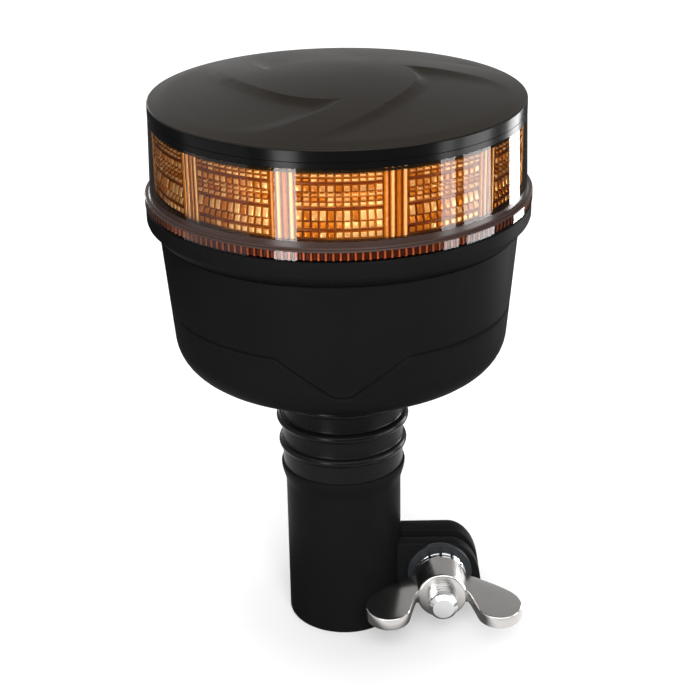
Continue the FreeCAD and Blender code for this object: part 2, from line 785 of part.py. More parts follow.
def base_housing():
    """Tapered drum with a chamfered collar, inside bosses and the moulded vee line."""
    body = new_body("base_housing_blank")
    chamfer_top = "(crease_height + collar_chamfer)"
    top = "housing_height"
    gasket_outer = "gasket_inner_radius + gasket_width + slip_gap"
    gasket_inner = "gasket_inner_radius - slip_gap"
    gasket_floor = f"{top} - gasket_thickness"
    revolve(body, [
        ("neck_waist_radius + slip_gap", "0"), ("drum_bottom_radius", "0"),
        ("crease_radius", "crease_height"),
        ("collar_radius", chamfer_top), ("collar_radius", top), (gasket_outer, top),
        (gasket_outer, gasket_floor), (gasket_inner, gasket_floor), (gasket_inner, top),
        ("lens_inner_radius", top), ("lens_inner_radius", chamfer_top),
        ("crease_radius - wall_thickness", "crease_height"),
        ("drum_bottom_radius - wall_thickness", "floor_thickness"),
        ("neck_waist_radius + slip_gap", "floor_thickness"),
    ])
    round_rings(body, [("drum_bottom_radius", "0")], "drum_round")
    inside = [("drum_bottom_radius - wall_thickness", "floor_thickness")]
    round_rings(body, inside, "drum_round - wall_thickness")
    root = "floor_thickness - boss_root"
    tie_boss_top = f"{top} + carrier_lift"
    standoff_top = "floor_thickness + standoff_height"
    neck_boss_top = "floor_thickness + neck_flange_thickness"
    boss_ring(body, TIE_SPOT, "tie_boss_radius", root, tie_boss_top, TIE_SCREWS)
    boss_ring(body, STANDOFF_SPOT, "standoff_radius", root, standoff_top, TIE_SCREWS)
    boss_ring(body, NECK_SCREW_SPOT, "neck_boss_radius", root, neck_boss_top, NECK_SCREWS)
    hole_ring(body, TIE_SPOT, "tie_hole", "0", tie_boss_top, TIE_SCREWS)
    hole_ring(body, TIE_SPOT, "tie_head_radius + hole_gap", "0", "tie_head_depth", TIE_SCREWS)
    bite = "(small_screw_bite + hole_gap)"
    hole_ring(body, STANDOFF_SPOT, "small_hole", f"{standoff_top} - {bite}", standoff_top, TIE_SCREWS)
    hole_ring(body, NECK_SCREW_SPOT, "small_hole", f"{neck_boss_top} - {bite}", neck_boss_top, NECK_SCREWS)
    housing = doc.addObject("Part::Cut", "base_housing")
    housing.Base = body
    housing.Tool = vee_cutter()
    bind(housing, Placement__Base__z="floor_height")
    return keep(housing, "base_housing")


def vee_cutter():
    """Thin band round the drum that dips in a vee at the front, as deep as the moulded line."""
    reach = "collar_radius"
    half = "vee_groove / 2"
    band = doc.addObject("Part::Cylinder", "vee_band")
    bind(band, Radius=reach, Height="vee_groove", Placement__Base__z=f"vee_height - {half}")
    gate = doc.addObject("Part::Box", "vee_gate")
    bind(gate, Length="2 * vee_half_width", Width=reach, Height="2 * vee_groove",
         Placement__Base__x="-vee_half_width", Placement__Base__y=f"-{reach}",
         Placement__Base__z="vee_height - vee_groove")
    level = doc.addObject("Part::Cut", "vee_level")
    level.Base = band
    level.Tool = gate
    sketch = doc.addObject("Sketcher::SketchObject", "vee_sketch")
    sketch.Placement = Placement(Vector(), Rotation(Vector(1, 0, 0), 90))
    top_line = [("-vee_half_width", "vee_height"), ("-vee_flat", "vee_height - vee_dip"),
                ("vee_flat", "vee_height - vee_dip"), ("vee_half_width", "vee_height")]
    upper = [(across, f"{along} + {half}") for across, along in top_line]
    lower = [(across, f"{along} - {half}") for across, along in reversed(top_line)]
    outline(sketch, upper + lower)
    dip = doc.addObject("Part::Extrusion", "vee_dip_band")
    dip.Base = sketch
    dip.DirMode = "Custom"
    dip.Dir = Vector(0, -1, 0)
    dip.Solid = True
    bind(dip, LengthFwd=reach)
    both = doc.addObject("Part::MultiFuse", "vee_line")
    both.Shapes = [level, dip]
    inside = doc.addObject("Part::Cone", "vee_inside")
    bind(inside, Radius1="drum_bottom_radius - vee_depth", Radius2="crease_radius - vee_depth",
         Height="crease_height")
    cutter = doc.addObject("Part::Cut", "vee_cutter")
    cutter.Base = both
    cutter.Tool = inside
    return cutter


def electronics():
    """Driver board on its standoffs, with its screws and its tall components."""
    board = new_body("driver_board", "board_seat")
    revolve(board, rectangle("0", "board_radius", "0", "board_thickness"))
    hole_ring(board, STANDOFF_SPOT, "small_screw_radius + hole_gap", "0", "board_thickness", TIE_SCREWS)
    hole_ring(board, TIE_SPOT, "tie_boss_radius + boss_clearance", "0", "board_thickness", TIE_SCREWS)
    keep(board, "driver_board")
    screws("board_screws", "board_seat", STANDOFF_SPOT, TIE_SCREWS,
           ("small_head_radius", "board_thickness", "board_thickness + small_head_height"),
           ("small_screw_radius", "-small_screw_bite", "board_thickness"))
    cans = new_body("capacitors", "board_top")
    can = new_sketch(cans)
    circle(can, "capacitor_radius", "capacitor_x", "0")
    around(cans, [pad(cans, can, "capacitor_height")], CAPACITORS)
    keep(cans, "capacitors")
    coil = new_body("inductor", "board_top")
    upper_cheek = "inductor_height - inductor_cheek"
    revolve(coil, [
        ("0", "0"), ("inductor_radius", "0"), ("inductor_radius", "inductor_cheek"),
        ("inductor_waist", "inductor_cheek"), ("inductor_waist", upper_cheek),
        ("inductor_radius", upper_cheek),
        ("inductor_radius", "inductor_height"), ("0", "inductor_height"),
    ])
    bind(coil, Placement__Base__y="-inductor_y")
    keep(coil, "inductor")
    chip = new_body("regulator", "board_top")
    plan = new_sketch(chip)
    outline(plan, rectangle("-regulator_width / 2", "regulator_width / 2",
                            "regulator_y - regulator_depth / 2", "regulator_y + regulator_depth / 2"))
    pad(chip, plan, "regulator_height")
    keep(chip, "regulator")


# Lens, light engine and cap


def lens():
    """Amber ring lens with its bottom flange, and the gasket under it."""
    turned_piece("lens_gasket", rectangle("gasket_inner_radius", "gasket_inner_radius + gasket_width",
                                     "-gasket_thickness", "0"), "lens_seat")
    turned_piece("lens_ring", [
        ("lens_inner_radius", "0"), ("lens_flange_radius", "0"), ("lens_flange_radius", "lens_flange_height"),
        ("lens_radius", "lens_flange_height"), ("lens_top_radius", "lens_height"),
        ("lens_inner_radius", "lens_height"),
    ], "lens_seat")


def light_engine():
    """Eleven-sided aluminium carrier, the circuit strip round it, its emitters and one optic per side."""
    carrier = new_body("led_carrier", "carrier_seat")
    plan = new_sketch(carrier)
    outline(plan, polygon("carrier_apothem"))
    pad(carrier, plan, "carrier_height")
    well = new_sketch(carrier, height="carrier_plate")
    circle(well, "carrier_inner_radius")
    pocket(carrier, well, "carrier_height", up=True)
    opening = new_sketch(carrier)
    circle(opening, "carrier_opening")
    pocket(carrier, opening, "carrier_plate", up=True)
    hole_ring(carrier, TIE_SPOT, "tie_hole", "0", "carrier_plate", TIE_SCREWS)
    keep(carrier, "led_carrier")
    strip_low = "carrier_plate + strip_margin"
    strip = new_body("led_strip", "carrier_seat")
    band = new_sketch(strip, height=strip_low)
    outline(band, polygon("strip_face"))
    outline(band, polygon("carrier_apothem"))
    pad(strip, band, "carrier_height - carrier_plate - 2 * strip_margin")
    keep(strip, "led_strip")
    middle = "(carrier_plate + carrier_height) / 2"
    emitters = new_body("led_emitters", "carrier_seat")
    chips = new_sketch(emitters, height=f"{middle} - emitter_size / 2")
    for number in range(EMITTERS):
        place = f"{number - (EMITTERS - 1) / 2} * emitter_spacing"
        outline(chips, rectangle(f"{place} - emitter_size / 2", f"{place} + emitter_size / 2",
                                 "-strip_face - emitter_height", "-strip_face"))
    around(emitters, [pad(emitters, chips, "emitter_size")], PANELS)
    keep(emitters, "led_emitters")
    for number in range(PANELS):
        optic(f"optic_{number + 1:02d}", PANEL_ANGLE * number, middle)


def optic(label, turn, middle):
    """Moulded block of one panel: flat on the strip, curved towards the lens, hollow over its emitters."""
    body = new_body(label, "carrier_seat")
    plan = new_sketch(body, height="carrier_plate + optic_margin")
    side, front = polar("optic_reach", "90 - optic_half_angle")
    back = "strip_face * tan(optic_half_angle)"
    outline(plan, [(f"-{back}", "-strip_face"), (f"-{side}", f"-{front}"),
                   (side, f"-{front}"), (back, "-strip_face")], {1: "optic_reach"})
    pad(body, plan, "optic_height")
    hollow = new_sketch(body, height=f"{middle} - optic_pocket_height / 2")
    outline(hollow, rectangle("-optic_pocket_width / 2", "optic_pocket_width / 2",
                              "-strip_face - optic_pocket_depth", "-strip_face"))
    pocket(body, hollow, "optic_pocket_height", up=True)
    body.Placement = Placement(Vector(), Rotation(Vector(0, 0, 1), turn))
    bind(body, Placement__Base__z="carrier_seat")
    return keep(body, label)


def tie_screws():
    """Long screws from under the drum, through the carrier and up into the cap."""
    screws("tie_screws", "floor_height", TIE_SPOT, TIE_SCREWS,
           ("tie_head_radius", "tie_head_depth - tie_head_height", "tie_head_depth"),
           ("tie_screw_radius", "tie_head_depth", "tie_head_depth + tie_length"))


def top_cap():
    """Shallow dome with a rim and a lip inside the lens, scooped in a three-bladed swirl."""
    seal = rectangle("lens_inner_radius + cap_seal_margin", "lens_top_radius - cap_seal_margin",
                     "0", "cap_seal_thickness")
    turned_piece("cap_seal", seal, "cap_seat")
    body = new_body("top_cap_blank")
    lip_outer = "lens_inner_radius - slip_gap"
    lip_inner = f"{lip_outer} - cap_lip_thickness"
    seal_inner = "lens_inner_radius + cap_seal_margin - slip_gap"
    seal_outer = "lens_top_radius - cap_seal_margin + slip_gap"
    line_floor = "cap_radius - cap_line_depth"
    line_top = "cap_line_height + cap_line_width"
    revolve(body, [
        ("0", "cap_ceiling"), (lip_inner, "cap_ceiling"), (lip_inner, "-cap_lip_depth"),
        (lip_outer, "-cap_lip_depth"), (lip_outer, "0"), (seal_inner, "0"),
        (seal_inner, "cap_seal_thickness"), (seal_outer, "cap_seal_thickness"), (seal_outer, "0"),
        ("cap_radius", "0"), ("cap_radius", "cap_line_height"), (line_floor, "cap_line_height"),
        (line_floor, line_top), ("cap_radius", line_top),
        ("cap_radius", "cap_rim_height - cap_bevel"), ("cap_shoulder", "cap_rim_height"),
        ("0", "cap_rim_height + dome_height"),
    ], {15: "dome_radius"})
    boss_ring(body, TIE_SPOT, "cap_boss_radius", "-cap_boss_drop", "cap_ceiling + cap_boss_root", TIE_SCREWS)
    hole_ring(body, TIE_SPOT, "tie_screw_radius + slip_gap", "-cap_boss_drop",
              "tie_screw_bite + hole_gap - cap_boss_drop", TIE_SCREWS)
    cap = doc.addObject("Part::Cut", "top_cap")
    cap.Base = body
    cap.Tool = scoop_cutter()
    bind(cap, Placement__Base__z="cap_seat")
    return keep(cap, "top_cap")


def scoop_cutter():
    """Three curved blades of the swirl, each down to a flatter dome that fades out near the rim."""
    outside = "(cap_radius + cap_rim_height)"
    blades = []
    for number in range(SCOOPS):
        sketch = doc.addObject("Sketcher::SketchObject", f"scoop_sketch_{number + 1}")
        sketch.Placement = Placement(Vector(), Rotation(Vector(0, 0, 1), 360 / SCOOPS * number))
        outline(sketch, [
            polar("scoop_tip_radius", "scoop_tip_angle"), polar("scoop_tip_radius", "scoop_turn_angle"),
            polar(outside, "scoop_trail_angle"), polar(outside, "(scoop_trail_angle + scoop_lead_angle) / 2"),
            polar(outside, "scoop_lead_angle"),
        ], {0: "-scoop_tip_radius", 1: "-scoop_trail_bend", 2: outside, 3: outside, 4: "scoop_lead_bend"})
        bind(sketch, Placement__Base__z="cap_ceiling")
        blade = doc.addObject("Part::Extrusion", f"scoop_blade_{number + 1}")
        blade.Base = sketch
        blade.DirMode = "Custom"
        blade.Dir = Vector(0, 0, 1)
        blade.Solid = True
        bind(blade, LengthFwd="cap_rim_height + dome_height")
        blades.append(blade)
    swirl = doc.addObject("Part::MultiFuse", "scoop_swirl")
    swirl.Shapes = blades
    flat_dome = doc.addObject("Part::Sphere", "scoop_floor")
    sag = "(dome_radius - sqrt(dome_radius ^ 2 - scoop_end_radius ^ 2) - scoop_depth)"
    radius = f"((scoop_end_radius ^ 2 + {sag} ^ 2) / (2 * {sag}))"
    top = "cap_rim_height + dome_height - scoop_depth"
    bind(flat_dome, Radius=radius, Placement__Base__z=f"{top} - {radius}")
    cutter = doc.addObject("Part::Cut", "scoop_cutter")
    cutter.Base = swirl
    cutter.Tool = flat_dome
    return cutter


def check():
    """Stop where a feature failed or a sub-part isn't a valid solid."""
    doc.recompute()
    failed = [item.Label for item in doc.Objects if {"Invalid", "Error"} & set(item.State)]
    broken = [node.Label for node in nodes if node.Shape.isNull() or not node.Shape.isValid()]
    if failed or broken:
        raise RuntimeError(f"features that failed: {failed}; shapes that are broken: {broken}")


def export():
    """Write one STEP file per node."""
    os.makedirs("parts", exist_ok=True)
    for node in nodes:
        node.Shape.exportStep(f"parts/{node.Label}.step")


fill_sheet()
pole_socket()
clamp_bolt()
disc_washer()
tooth_ring()
wing_nut()
contact_block()
contacts()
neck_lower()
neck_middle()
neck_upper()
neck_fixing()
base_housing()
electronics()
lens()
light_engine()
tie_screws()
top_cap()
check()
export()
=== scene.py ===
"""Studio scene of a flexible-neck LED beacon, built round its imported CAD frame."""

import math

import bpy
import numpy as np
from bpy.props import FloatProperty, FloatVectorProperty, PointerProperty
from mathutils import Matrix, Vector


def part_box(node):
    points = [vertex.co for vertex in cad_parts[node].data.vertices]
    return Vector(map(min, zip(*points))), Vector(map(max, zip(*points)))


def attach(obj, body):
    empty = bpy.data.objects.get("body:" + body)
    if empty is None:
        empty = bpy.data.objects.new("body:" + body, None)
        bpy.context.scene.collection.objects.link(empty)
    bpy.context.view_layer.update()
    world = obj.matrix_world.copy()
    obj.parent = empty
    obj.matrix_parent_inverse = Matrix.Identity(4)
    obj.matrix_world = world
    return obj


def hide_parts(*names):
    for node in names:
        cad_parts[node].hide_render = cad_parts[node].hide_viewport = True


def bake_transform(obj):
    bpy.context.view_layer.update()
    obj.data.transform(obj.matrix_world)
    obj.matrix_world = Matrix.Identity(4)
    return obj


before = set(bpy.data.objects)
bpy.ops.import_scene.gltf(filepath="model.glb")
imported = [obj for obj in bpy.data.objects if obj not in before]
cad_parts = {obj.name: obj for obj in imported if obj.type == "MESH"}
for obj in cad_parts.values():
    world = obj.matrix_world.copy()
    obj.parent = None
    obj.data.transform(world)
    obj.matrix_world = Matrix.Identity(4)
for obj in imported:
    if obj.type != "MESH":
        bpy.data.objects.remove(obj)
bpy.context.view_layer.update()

bl_info = {
    "name": "LED beacon",
    "version": (1, 0, 0),
    "blender": (4, 5, 0),
    "location": "3D View > Sidebar > Beacon",
    "description": "Builds the visible pieces of an LED beacon round its CAD frame",
    "category": "Object",
}

MM = 0.001
FULL_TURN = 2 * math.pi
FRONT = -math.pi / 2
MERGE_DISTANCE = 1e-6
SMOOTH_ANGLE = math.radians(35)
BEVEL_ANGLE = math.radians(30)
BEVEL_SEGMENTS = 3
WHITE = (1, 1, 1, 1)


def low(node):
    """Lowest corner of a CAD node."""
    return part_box(node)[0]


def high(node):
    """Highest corner of a CAD node."""
    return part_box(node)[1]


def middle(node):
    """Centre of a CAD node's box."""
    return (low(node) + high(node)) / 2


def held(value, most=1.0):
    """A value kept between nought and its most."""
    return min(max(value, 0.0), most)


def length(name, description, millimetres):
    """A size that a user may change, shown in scene units."""
    return FloatProperty(name=name, description=description, default=millimetres * MM,
                         unit="LENGTH", precision=5)


def colour(name, description, red, green, blue):
    """A linear colour that a user may change."""
    return FloatVectorProperty(name=name, description=description, default=(red, green, blue),
                               subtype="COLOR", size=3, min=0, max=1)


def turn(name, description, degrees):
    """An angle that a user may change."""
    return FloatProperty(name=name, description=description, default=math.radians(degrees),
                         subtype="ANGLE")


# Modelling helpers


def clear_selection():
    """Object mode with nothing selected."""
    if bpy.context.mode != "OBJECT":
        bpy.ops.object.mode_set(mode="OBJECT")
    bpy.ops.object.select_all(action="DESELECT")


def take(piece):
    """Select this piece alone and make it active."""
    clear_selection()
    piece.select_set(True)
    bpy.context.view_layer.objects.active = piece


def edit(piece, part="VERT"):
    """Edit mode on this piece with nothing selected."""
    take(piece)
    bpy.ops.object.mode_set(mode="EDIT")
    bpy.ops.mesh.select_mode(type=part)
    bpy.ops.mesh.select_all(action="DESELECT")


def done():
    """Back to object mode."""
    bpy.ops.object.mode_set(mode="OBJECT")


def pick_faces(piece, wanted):
    """Select the faces whose centre and normal pass a test, and go to edit mode."""
    edit(piece, "FACE")
    done()
    for face in piece.data.polygons:
        face.select = bool(wanted(face.center, face.normal))
    bpy.ops.object.mode_set(mode="EDIT")


def select_all():
    """Select the whole mesh in edit mode."""
    bpy.ops.mesh.select_all(action="SELECT")


def extrude(shift):
    """Extrude what is selected by a shift."""
    bpy.ops.mesh.extrude_region_move(TRANSFORM_OT_translate={"value": Vector(shift)})


def rename(piece, name):
    """Name a piece and its mesh."""
    piece.name = name
    piece.data.name = name


def duplicate(piece, name):
    """A copy of a piece with its own mesh."""
    take(piece)
    bpy.ops.object.duplicate()
    copy = bpy.context.object
    rename(copy, name)
    return copy


def trace(name, points):
    """A new piece that is a chain of edges through these points, left in edit mode."""
    clear_selection()
    bpy.ops.mesh.primitive_plane_add(size=MM)
    piece = bpy.context.object
    rename(piece, name)
    bpy.ops.object.mode_set(mode="EDIT")
    bpy.ops.mesh.select_mode(type="VERT")
    select_all()
    bpy.ops.mesh.merge(type="CENTER")
    bpy.ops.transform.translate(value=Vector(points[0]))
    for before, after in zip(points, points[1:]):
        extrude(Vector(after) - Vector(before))
    return piece


def close_up(piece):
    """Merge doubled points and turn the faces outwards."""
    edit(piece)
    select_all()
    bpy.ops.mesh.remove_doubles(threshold=MERGE_DISTANCE)
    bpy.ops.mesh.normals_make_consistent(inside=False)
    done()


def spun(piece, steps, angle, centre, axis):
    """A traced profile spun round an axis."""
    select_all()
    bpy.ops.mesh.spin(steps=steps, angle=angle, center=centre, axis=axis)
    close_up(piece)
    return piece


def turned(name, profile, steps, start=FRONT, sweep=FULL_TURN):
    """A (radius, height) profile spun round the vertical axis."""
    points = [(radius * math.cos(start), radius * math.sin(start), height) for radius, height in profile]
    return spun(trace(name, points), steps, -sweep, (0, 0, 0), (0, 0, 1))


def turned_on_bolt(name, profile, steps):
    """A (radius, distance) profile spun round the bolt's axis, distances running forwards."""
    axis = middle("clamp_bolt")
    points = [(axis.x, -along, axis.z + radius) for radius, along in profile]
    return spun(trace(name, points), steps, FULL_TURN, (axis.x, 0, axis.z), (0, 1, 0))


def slab(name, outline, shift):
    """A closed outline filled and extruded by a shift."""
    piece = trace(name, outline)
    select_all()
    bpy.ops.mesh.edge_face_add()
    extrude(shift)
    close_up(piece)
    return piece


def modify(piece, kind, **settings):
    """Add one modifier and apply it."""
    take(piece)
    modifier = piece.modifiers.new(kind.title(), kind)
    for key, value in settings.items():
        setattr(modifier, key, value)
    bpy.ops.object.modifier_apply(modifier=modifier.name)


def soften(piece, width):
    """Round the sharp edges."""
    modify(piece, "BEVEL", width=width, segments=BEVEL_SEGMENTS, limit_method="ANGLE",
           angle_limit=BEVEL_ANGLE)


def combine(piece, tool, operation):
    """Boolean of a piece with a tool, which is used up."""
    modify(piece, "BOOLEAN", object=tool, operation=operation, solver="EXACT")
    bpy.data.objects.remove(tool)


def smooth(piece, angle=SMOOTH_ANGLE):
    """Smooth shading that keeps the sharper edges."""
    take(piece)
    bpy.ops.object.shade_smooth_by_angle(angle=angle)


def paint(piece, *finishes):
    """Give a piece its finishes, the first one all over."""
    piece.data.materials.clear()
    for finish in finishes:
        piece.data.materials.append(FINISHES[finish])


def settle(piece, body, slot, *nodes):
    """Hang a finished piece on its body, in the place of these nodes."""
    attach(piece, body)
    if nodes:
        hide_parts(*nodes)


def complete(piece, finish, body, slot, node, angle=SMOOTH_ANGLE):
    """Shade, paint and hang a piece of one finish."""
    smooth(piece, angle)
    paint(piece, finish)
    settle(piece, body, slot, node)


def arc(centre, radius, start, end, steps):
    """Points of an arc in a flat plane, angles in degrees."""
    angles = np.radians(np.linspace(start, end, steps + 1))
    return [(centre[0] + radius * math.cos(a), centre[1] + radius * math.sin(a)) for a in angles]


# Shader helpers


class Wire:
    """A shader socket that takes part in sums, each of which adds one Math node."""

    def __init__(self, finish, socket):
        self.finish = finish
        self.socket = socket

    def math(self, operation, left, right):
        return self.finish.node("Math", {0: left, 1: right}, operation=operation)

    def __add__(self, other):
        return self.math("ADD", self, other)

    def __radd__(self, other):
        return self.math("ADD", other, self)

    def __sub__(self, other):
        return self.math("SUBTRACT", self, other)

    def __rsub__(self, other):
        return self.math("SUBTRACT", other, self)

    def __mul__(self, other):
        return self.math("MULTIPLY", self, other)

    def __rmul__(self, other):
        return self.math("MULTIPLY", other, self)


class Finish:
    """The nodes of a material or a world while they are put together."""

    def __init__(self, owner):
        self.owner = owner
        owner.use_nodes = True
        self.tree = owner.node_tree
        self.tree.nodes.clear()

    def node(self, kind, sockets=None, output=0, **settings):
        """One shader node, its settings first, then the values or links of its sockets."""
        made = self.tree.nodes.new(f"ShaderNode{kind}")
        for key, value in settings.items():
            setattr(made, key, value)
        for key, value in (sockets or {}).items():
            if isinstance(value, Wire):
                self.tree.links.new(value.socket, made.inputs[key])
            else:
                made.inputs[key].default_value = value
        return Wire(self, made.outputs[output]) if made.outputs else None

    def noise(self, scale, detail=3.0, stretch=(1, 1, 1)):
        """Noise on Object coordinates, stretched by a Mapping node."""
        place = self.node("TexCoord", output="Object")
        place = self.node("Mapping", {"Vector": place, "Scale": stretch})
        return self.node("TexNoise", {"Vector": place, "Scale": scale, "Detail": detail})

    def blend(self, share, first, second):
        """Mix of two colours."""
        return self.node("Mix", {0: share, 6: opaque(first), 7: opaque(second)}, output=2, data_type="RGBA")

    def ramp(self, value, stops):
        """Colours at these spots along a value."""
        wire = self.node("ValToRGB", {"Fac": value})
        elements = wire.socket.node.color_ramp.elements
        for spot, tint in stops[len(elements):]:
            elements.new(spot)
        for element, (spot, tint) in zip(elements, stops):
            element.position = spot
            element.color = opaque(tint)
        return wire

    def spread(self, value, spots, levels):
        """A value led from one range to another, and held at its ends."""
        return self.node("MapRange", dict(enumerate((value, *spots, *levels))))

    def grain(self, height, distance, strength):
        """A bump from a height."""
        return self.node("Bump", {"Height": height, "Distance": distance, "Strength": strength})

    def glow(self, strength):
        """White light of a strength."""
        return self.node("Emission", {"Color": WHITE, "Strength": strength})

    def ray(self, kind):
        """1 for rays of one kind, else 0."""
        return self.node("LightPath", output=f"Is {kind} Ray")

    def close(self, shader):
        """Lead the shader to the output and give the material back."""
        self.node("OutputMaterial", {"Surface": shader})
        return self.owner


def opaque(tint):
    """A colour with full alpha."""
    return (*tint, 1.0)


def shade(tint, factor):
    """A colour made darker or paler."""
    return tuple(min(1.0, channel * factor) for channel in tint)


def moulded(name, tint, roughness, gloss, grain_scale, grain_depth):
    """Moulded plastic or rubber: fine grain, uneven gloss, a little paler in patches."""
    patch_scale, darker, paler = 45.0, 0.8, 1.25
    pore_detail, pore_strength = 4.0, 0.5
    patch_share, pore_share = 0.12, 0.08
    finish = Finish(bpy.data.materials.new(name))
    patches = finish.noise(patch_scale)
    pores = finish.noise(grain_scale, pore_detail)
    least = roughness - (patch_share + pore_share) / 2
    return finish.close(finish.node("BsdfPrincipled", {
        "Base Color": finish.blend(patches, shade(tint, darker), shade(tint, paler)),
        "Roughness": patches * patch_share + pores * pore_share + least,
        "Specular IOR Level": gloss,
        "Normal": finish.grain(pores, grain_depth, pore_strength),
    }))


def metal(name, tint, roughness, streak=(1, 1, 1)):
    """Bare or plated metal with faint streaks."""
    cloud_scale, darker, paler = 120.0, 0.9, 1.06
    streak_scale, streak_detail, streak_share = 900.0, 4.0, 0.1
    streak_depth, streak_strength = 0.00002, 0.25
    finish = Finish(bpy.data.materials.new(name))
    streaks = finish.noise(streak_scale, streak_detail, streak)
    clouds = finish.noise(cloud_scale)
    return finish.close(finish.node("BsdfPrincipled", {
        "Base Color": finish.blend(clouds, shade(tint, darker), shade(tint, paler)),
        "Metallic": 1.0,
        "Roughness": streaks * streak_share + (roughness - streak_share / 2),
        "Normal": finish.grain(streaks, streak_depth, streak_strength),
    }))


def lens_skin(name, tint):
    """Clear amber skin: see-through with its tint, mirror-like at a glance."""
    ripple_scale, ripple_depth, ripple_strength = 60.0, 0.0001, 0.15
    roughness, index = 0.04, 1.38
    finish = Finish(bpy.data.materials.new(name))
    bump = finish.grain(finish.noise(ripple_scale), ripple_depth, ripple_strength)
    clear = finish.node("BsdfTransparent", {"Color": opaque(tint)})
    mirror = finish.node("BsdfGlossy", {"Color": WHITE, "Roughness": roughness, "Normal": bump})
    share = finish.node("Fresnel", {"IOR": index, "Normal": bump})
    return finish.close(finish.node("MixShader", {0: share, 1: clear, 2: mirror}))


def lens_wall(name, tint):
    """Inner wall of the amber ring, only its tint."""
    speck_scale, speck_share, roughness = 400.0, 0.02, 0.3
    finish = Finish(bpy.data.materials.new(name))
    speck = finish.noise(speck_scale)
    clear = finish.node("BsdfTransparent", {"Color": opaque(tint)})
    haze = finish.node("BsdfPrincipled", {"Base Color": opaque(tint), "Roughness": roughness})
    return finish.close(finish.node("MixShader", {0: speck * speck_share, 1: clear, 2: haze}))


def prism(name, stops, roughness, mirror):
    """Moulded prism face behind the amber skin, its painted brightness, highlight or shade, from the level of
    its block.
    """
    ripple_scale, ripple_share, rough_share = 900.0, 0.3, 0.1
    ripple_depth, ripple_strength = 0.0001, 0.4
    finish = Finish(bpy.data.materials.new(name))
    level = finish.node("Attribute", output="Fac", attribute_name="level")
    ripple = finish.noise(ripple_scale)
    return finish.close(finish.node("BsdfPrincipled", {
        "Base Color": finish.ramp(level + ripple * ripple_share - ripple_share / 2, stops),
        "Roughness": ripple * rough_share + (roughness - rough_share / 2),
        "Metallic": mirror,
        "Normal": finish.grain(ripple, ripple_depth, ripple_strength),
    }))


# What a user may change


class BeaconHeadSizes(bpy.types.PropertyGroup):
    """Sizes of the drum, the lens and the cap."""

    rim_bevel: length("Rim bevel", "Rounding where the dome meets the rim", 0.7)
    rim_height: length("Rim height", "Height of the cap's upright rim", 5.9)
    rim_lift: length("Rim lift", "How far the clear ring shows above its seat in the CAD", 1.3)
    line_height: length("Rim line height", "Height of the moulded line above the lens", 1.9)
    line_depth: length("Rim line depth", "Depth of the moulded line", 0.2)
    swirl_depth: length("Swirl depth", "Depth of the swirl at the middle of the cap", 2.0)
    swirl_tip: length("Swirl tip radius", "Radius at which the blades of the swirl start", 25.2)
    swirl_root: length("Swirl root radius", "Radius up to which the blades' edges turn slowly outwards", 26.4)
    swirl_bend: length("Swirl bend radius", "Radius at which the blades turn outwards", 31.0)
    swirl_end: length("Swirl end radius", "Radius at which the swirl is level with the dome", 55.0)
    lead_slope: length("Leading slope", "Width of the slope down from a blade's leading edge", 6.5)
    trail_slope: length("Trailing slope", "Width of the slope down from a blade's inner edge", 4.5)
    lip_gap: length("Lip gap", "Gap between the cap's lip and the lens", 0.1)
    lip_wall: length("Lip wall", "Thickness of the cap's lip", 2.2)
    lip_depth: length("Lip depth", "How far the cap's lip reaches into the lens", 2.3)
    ceiling: length("Ceiling", "Height of the cap's ceiling above the lens", 3.7)
    lens_wall: length("Lens wall", "Thickness of the amber ring", 2.8)
    skin: length("Lens skin", "Thickness of the clear skin in front of the prisms", 0.5)
    flange_height: length("Flange height", "Height of the amber ring's bottom flange", 3.5)
    flange_width: length("Flange width", "How far the flange stands out from the lens", 1.7)
    lens_foot: length("Lens foot", "Height of the plain foot between the flange and the prisms", 2.3)
    flange_bevel: length("Flange bevel", "Rounding of the flange's edges", 0.4)
    flange_tooth: length("Flange tooth", "Depth of the fine teeth inside the flange", 0.5)
    block_gap: length("Block gap", "Width of each step on a prism block's edge", 0.1)
    block_rise: length("Block rise", "How far a prism block stands out", 0.8)
    block_lean: length("Block lean", "How far the rows of a panel may lean outwards", 0.6)
    panel_wall: length("Panel wall", "Thickness of the prism panels and the ribs", 1.2)
    crease_height: length("Crease height", "Height of the crease above the drum's floor", 47.6)
    chamfer_height: length("Chamfer height", "Height of the chamfer under the collar", 4.6)
    collar_step: length("Collar step", "How far the collar stands out from the crease", 3.8)
    crease_groove: length("Crease groove", "Width of the fine groove in the crease", 0.9)
    crease_depth: length("Crease depth", "Depth of the fine groove in the crease", 0.7)
    taper: length("Taper", "How much narrower the drum is at the bottom", 4.1)
    bottom_round: length("Bottom round", "Rounding of the drum's bottom edge", 12.0)
    drum_wall: length("Drum wall", "Thickness of the drum's wall", 2.6)
    drum_floor: length("Drum floor", "Thickness of the drum's floor", 3.0)
    drum_opening: length("Drum opening", "Radius of the opening for the neck", 17.2)
    collar_edge: length("Collar edge", "Rounding of the collar's edges", 0.5)
    screw_head: length("Screw head", "Radius of the long screws' heads", 3.8)
    well_radius: length("Well radius", "Radius of the wells of the long screws", 4.1)
    well_depth: length("Well depth", "Depth of the wells of the long screws", 5.0)
    vee_height: length("Vee line height", "Height of the moulded line above the drum's floor", 22.0)
    vee_dip: length("Vee dip", "How far the line dips at the front", 12.6)
    vee_half: length("Vee half width", "Half the width of the dip", 20.4)
    vee_flat: length("Vee flat", "Half the width of the flat at the bottom of the dip", 2.4)
    vee_groove: length("Vee groove", "Width of the moulded line", 1.8)
    vee_depth: length("Vee depth", "Depth of the moulded line", 1.1)


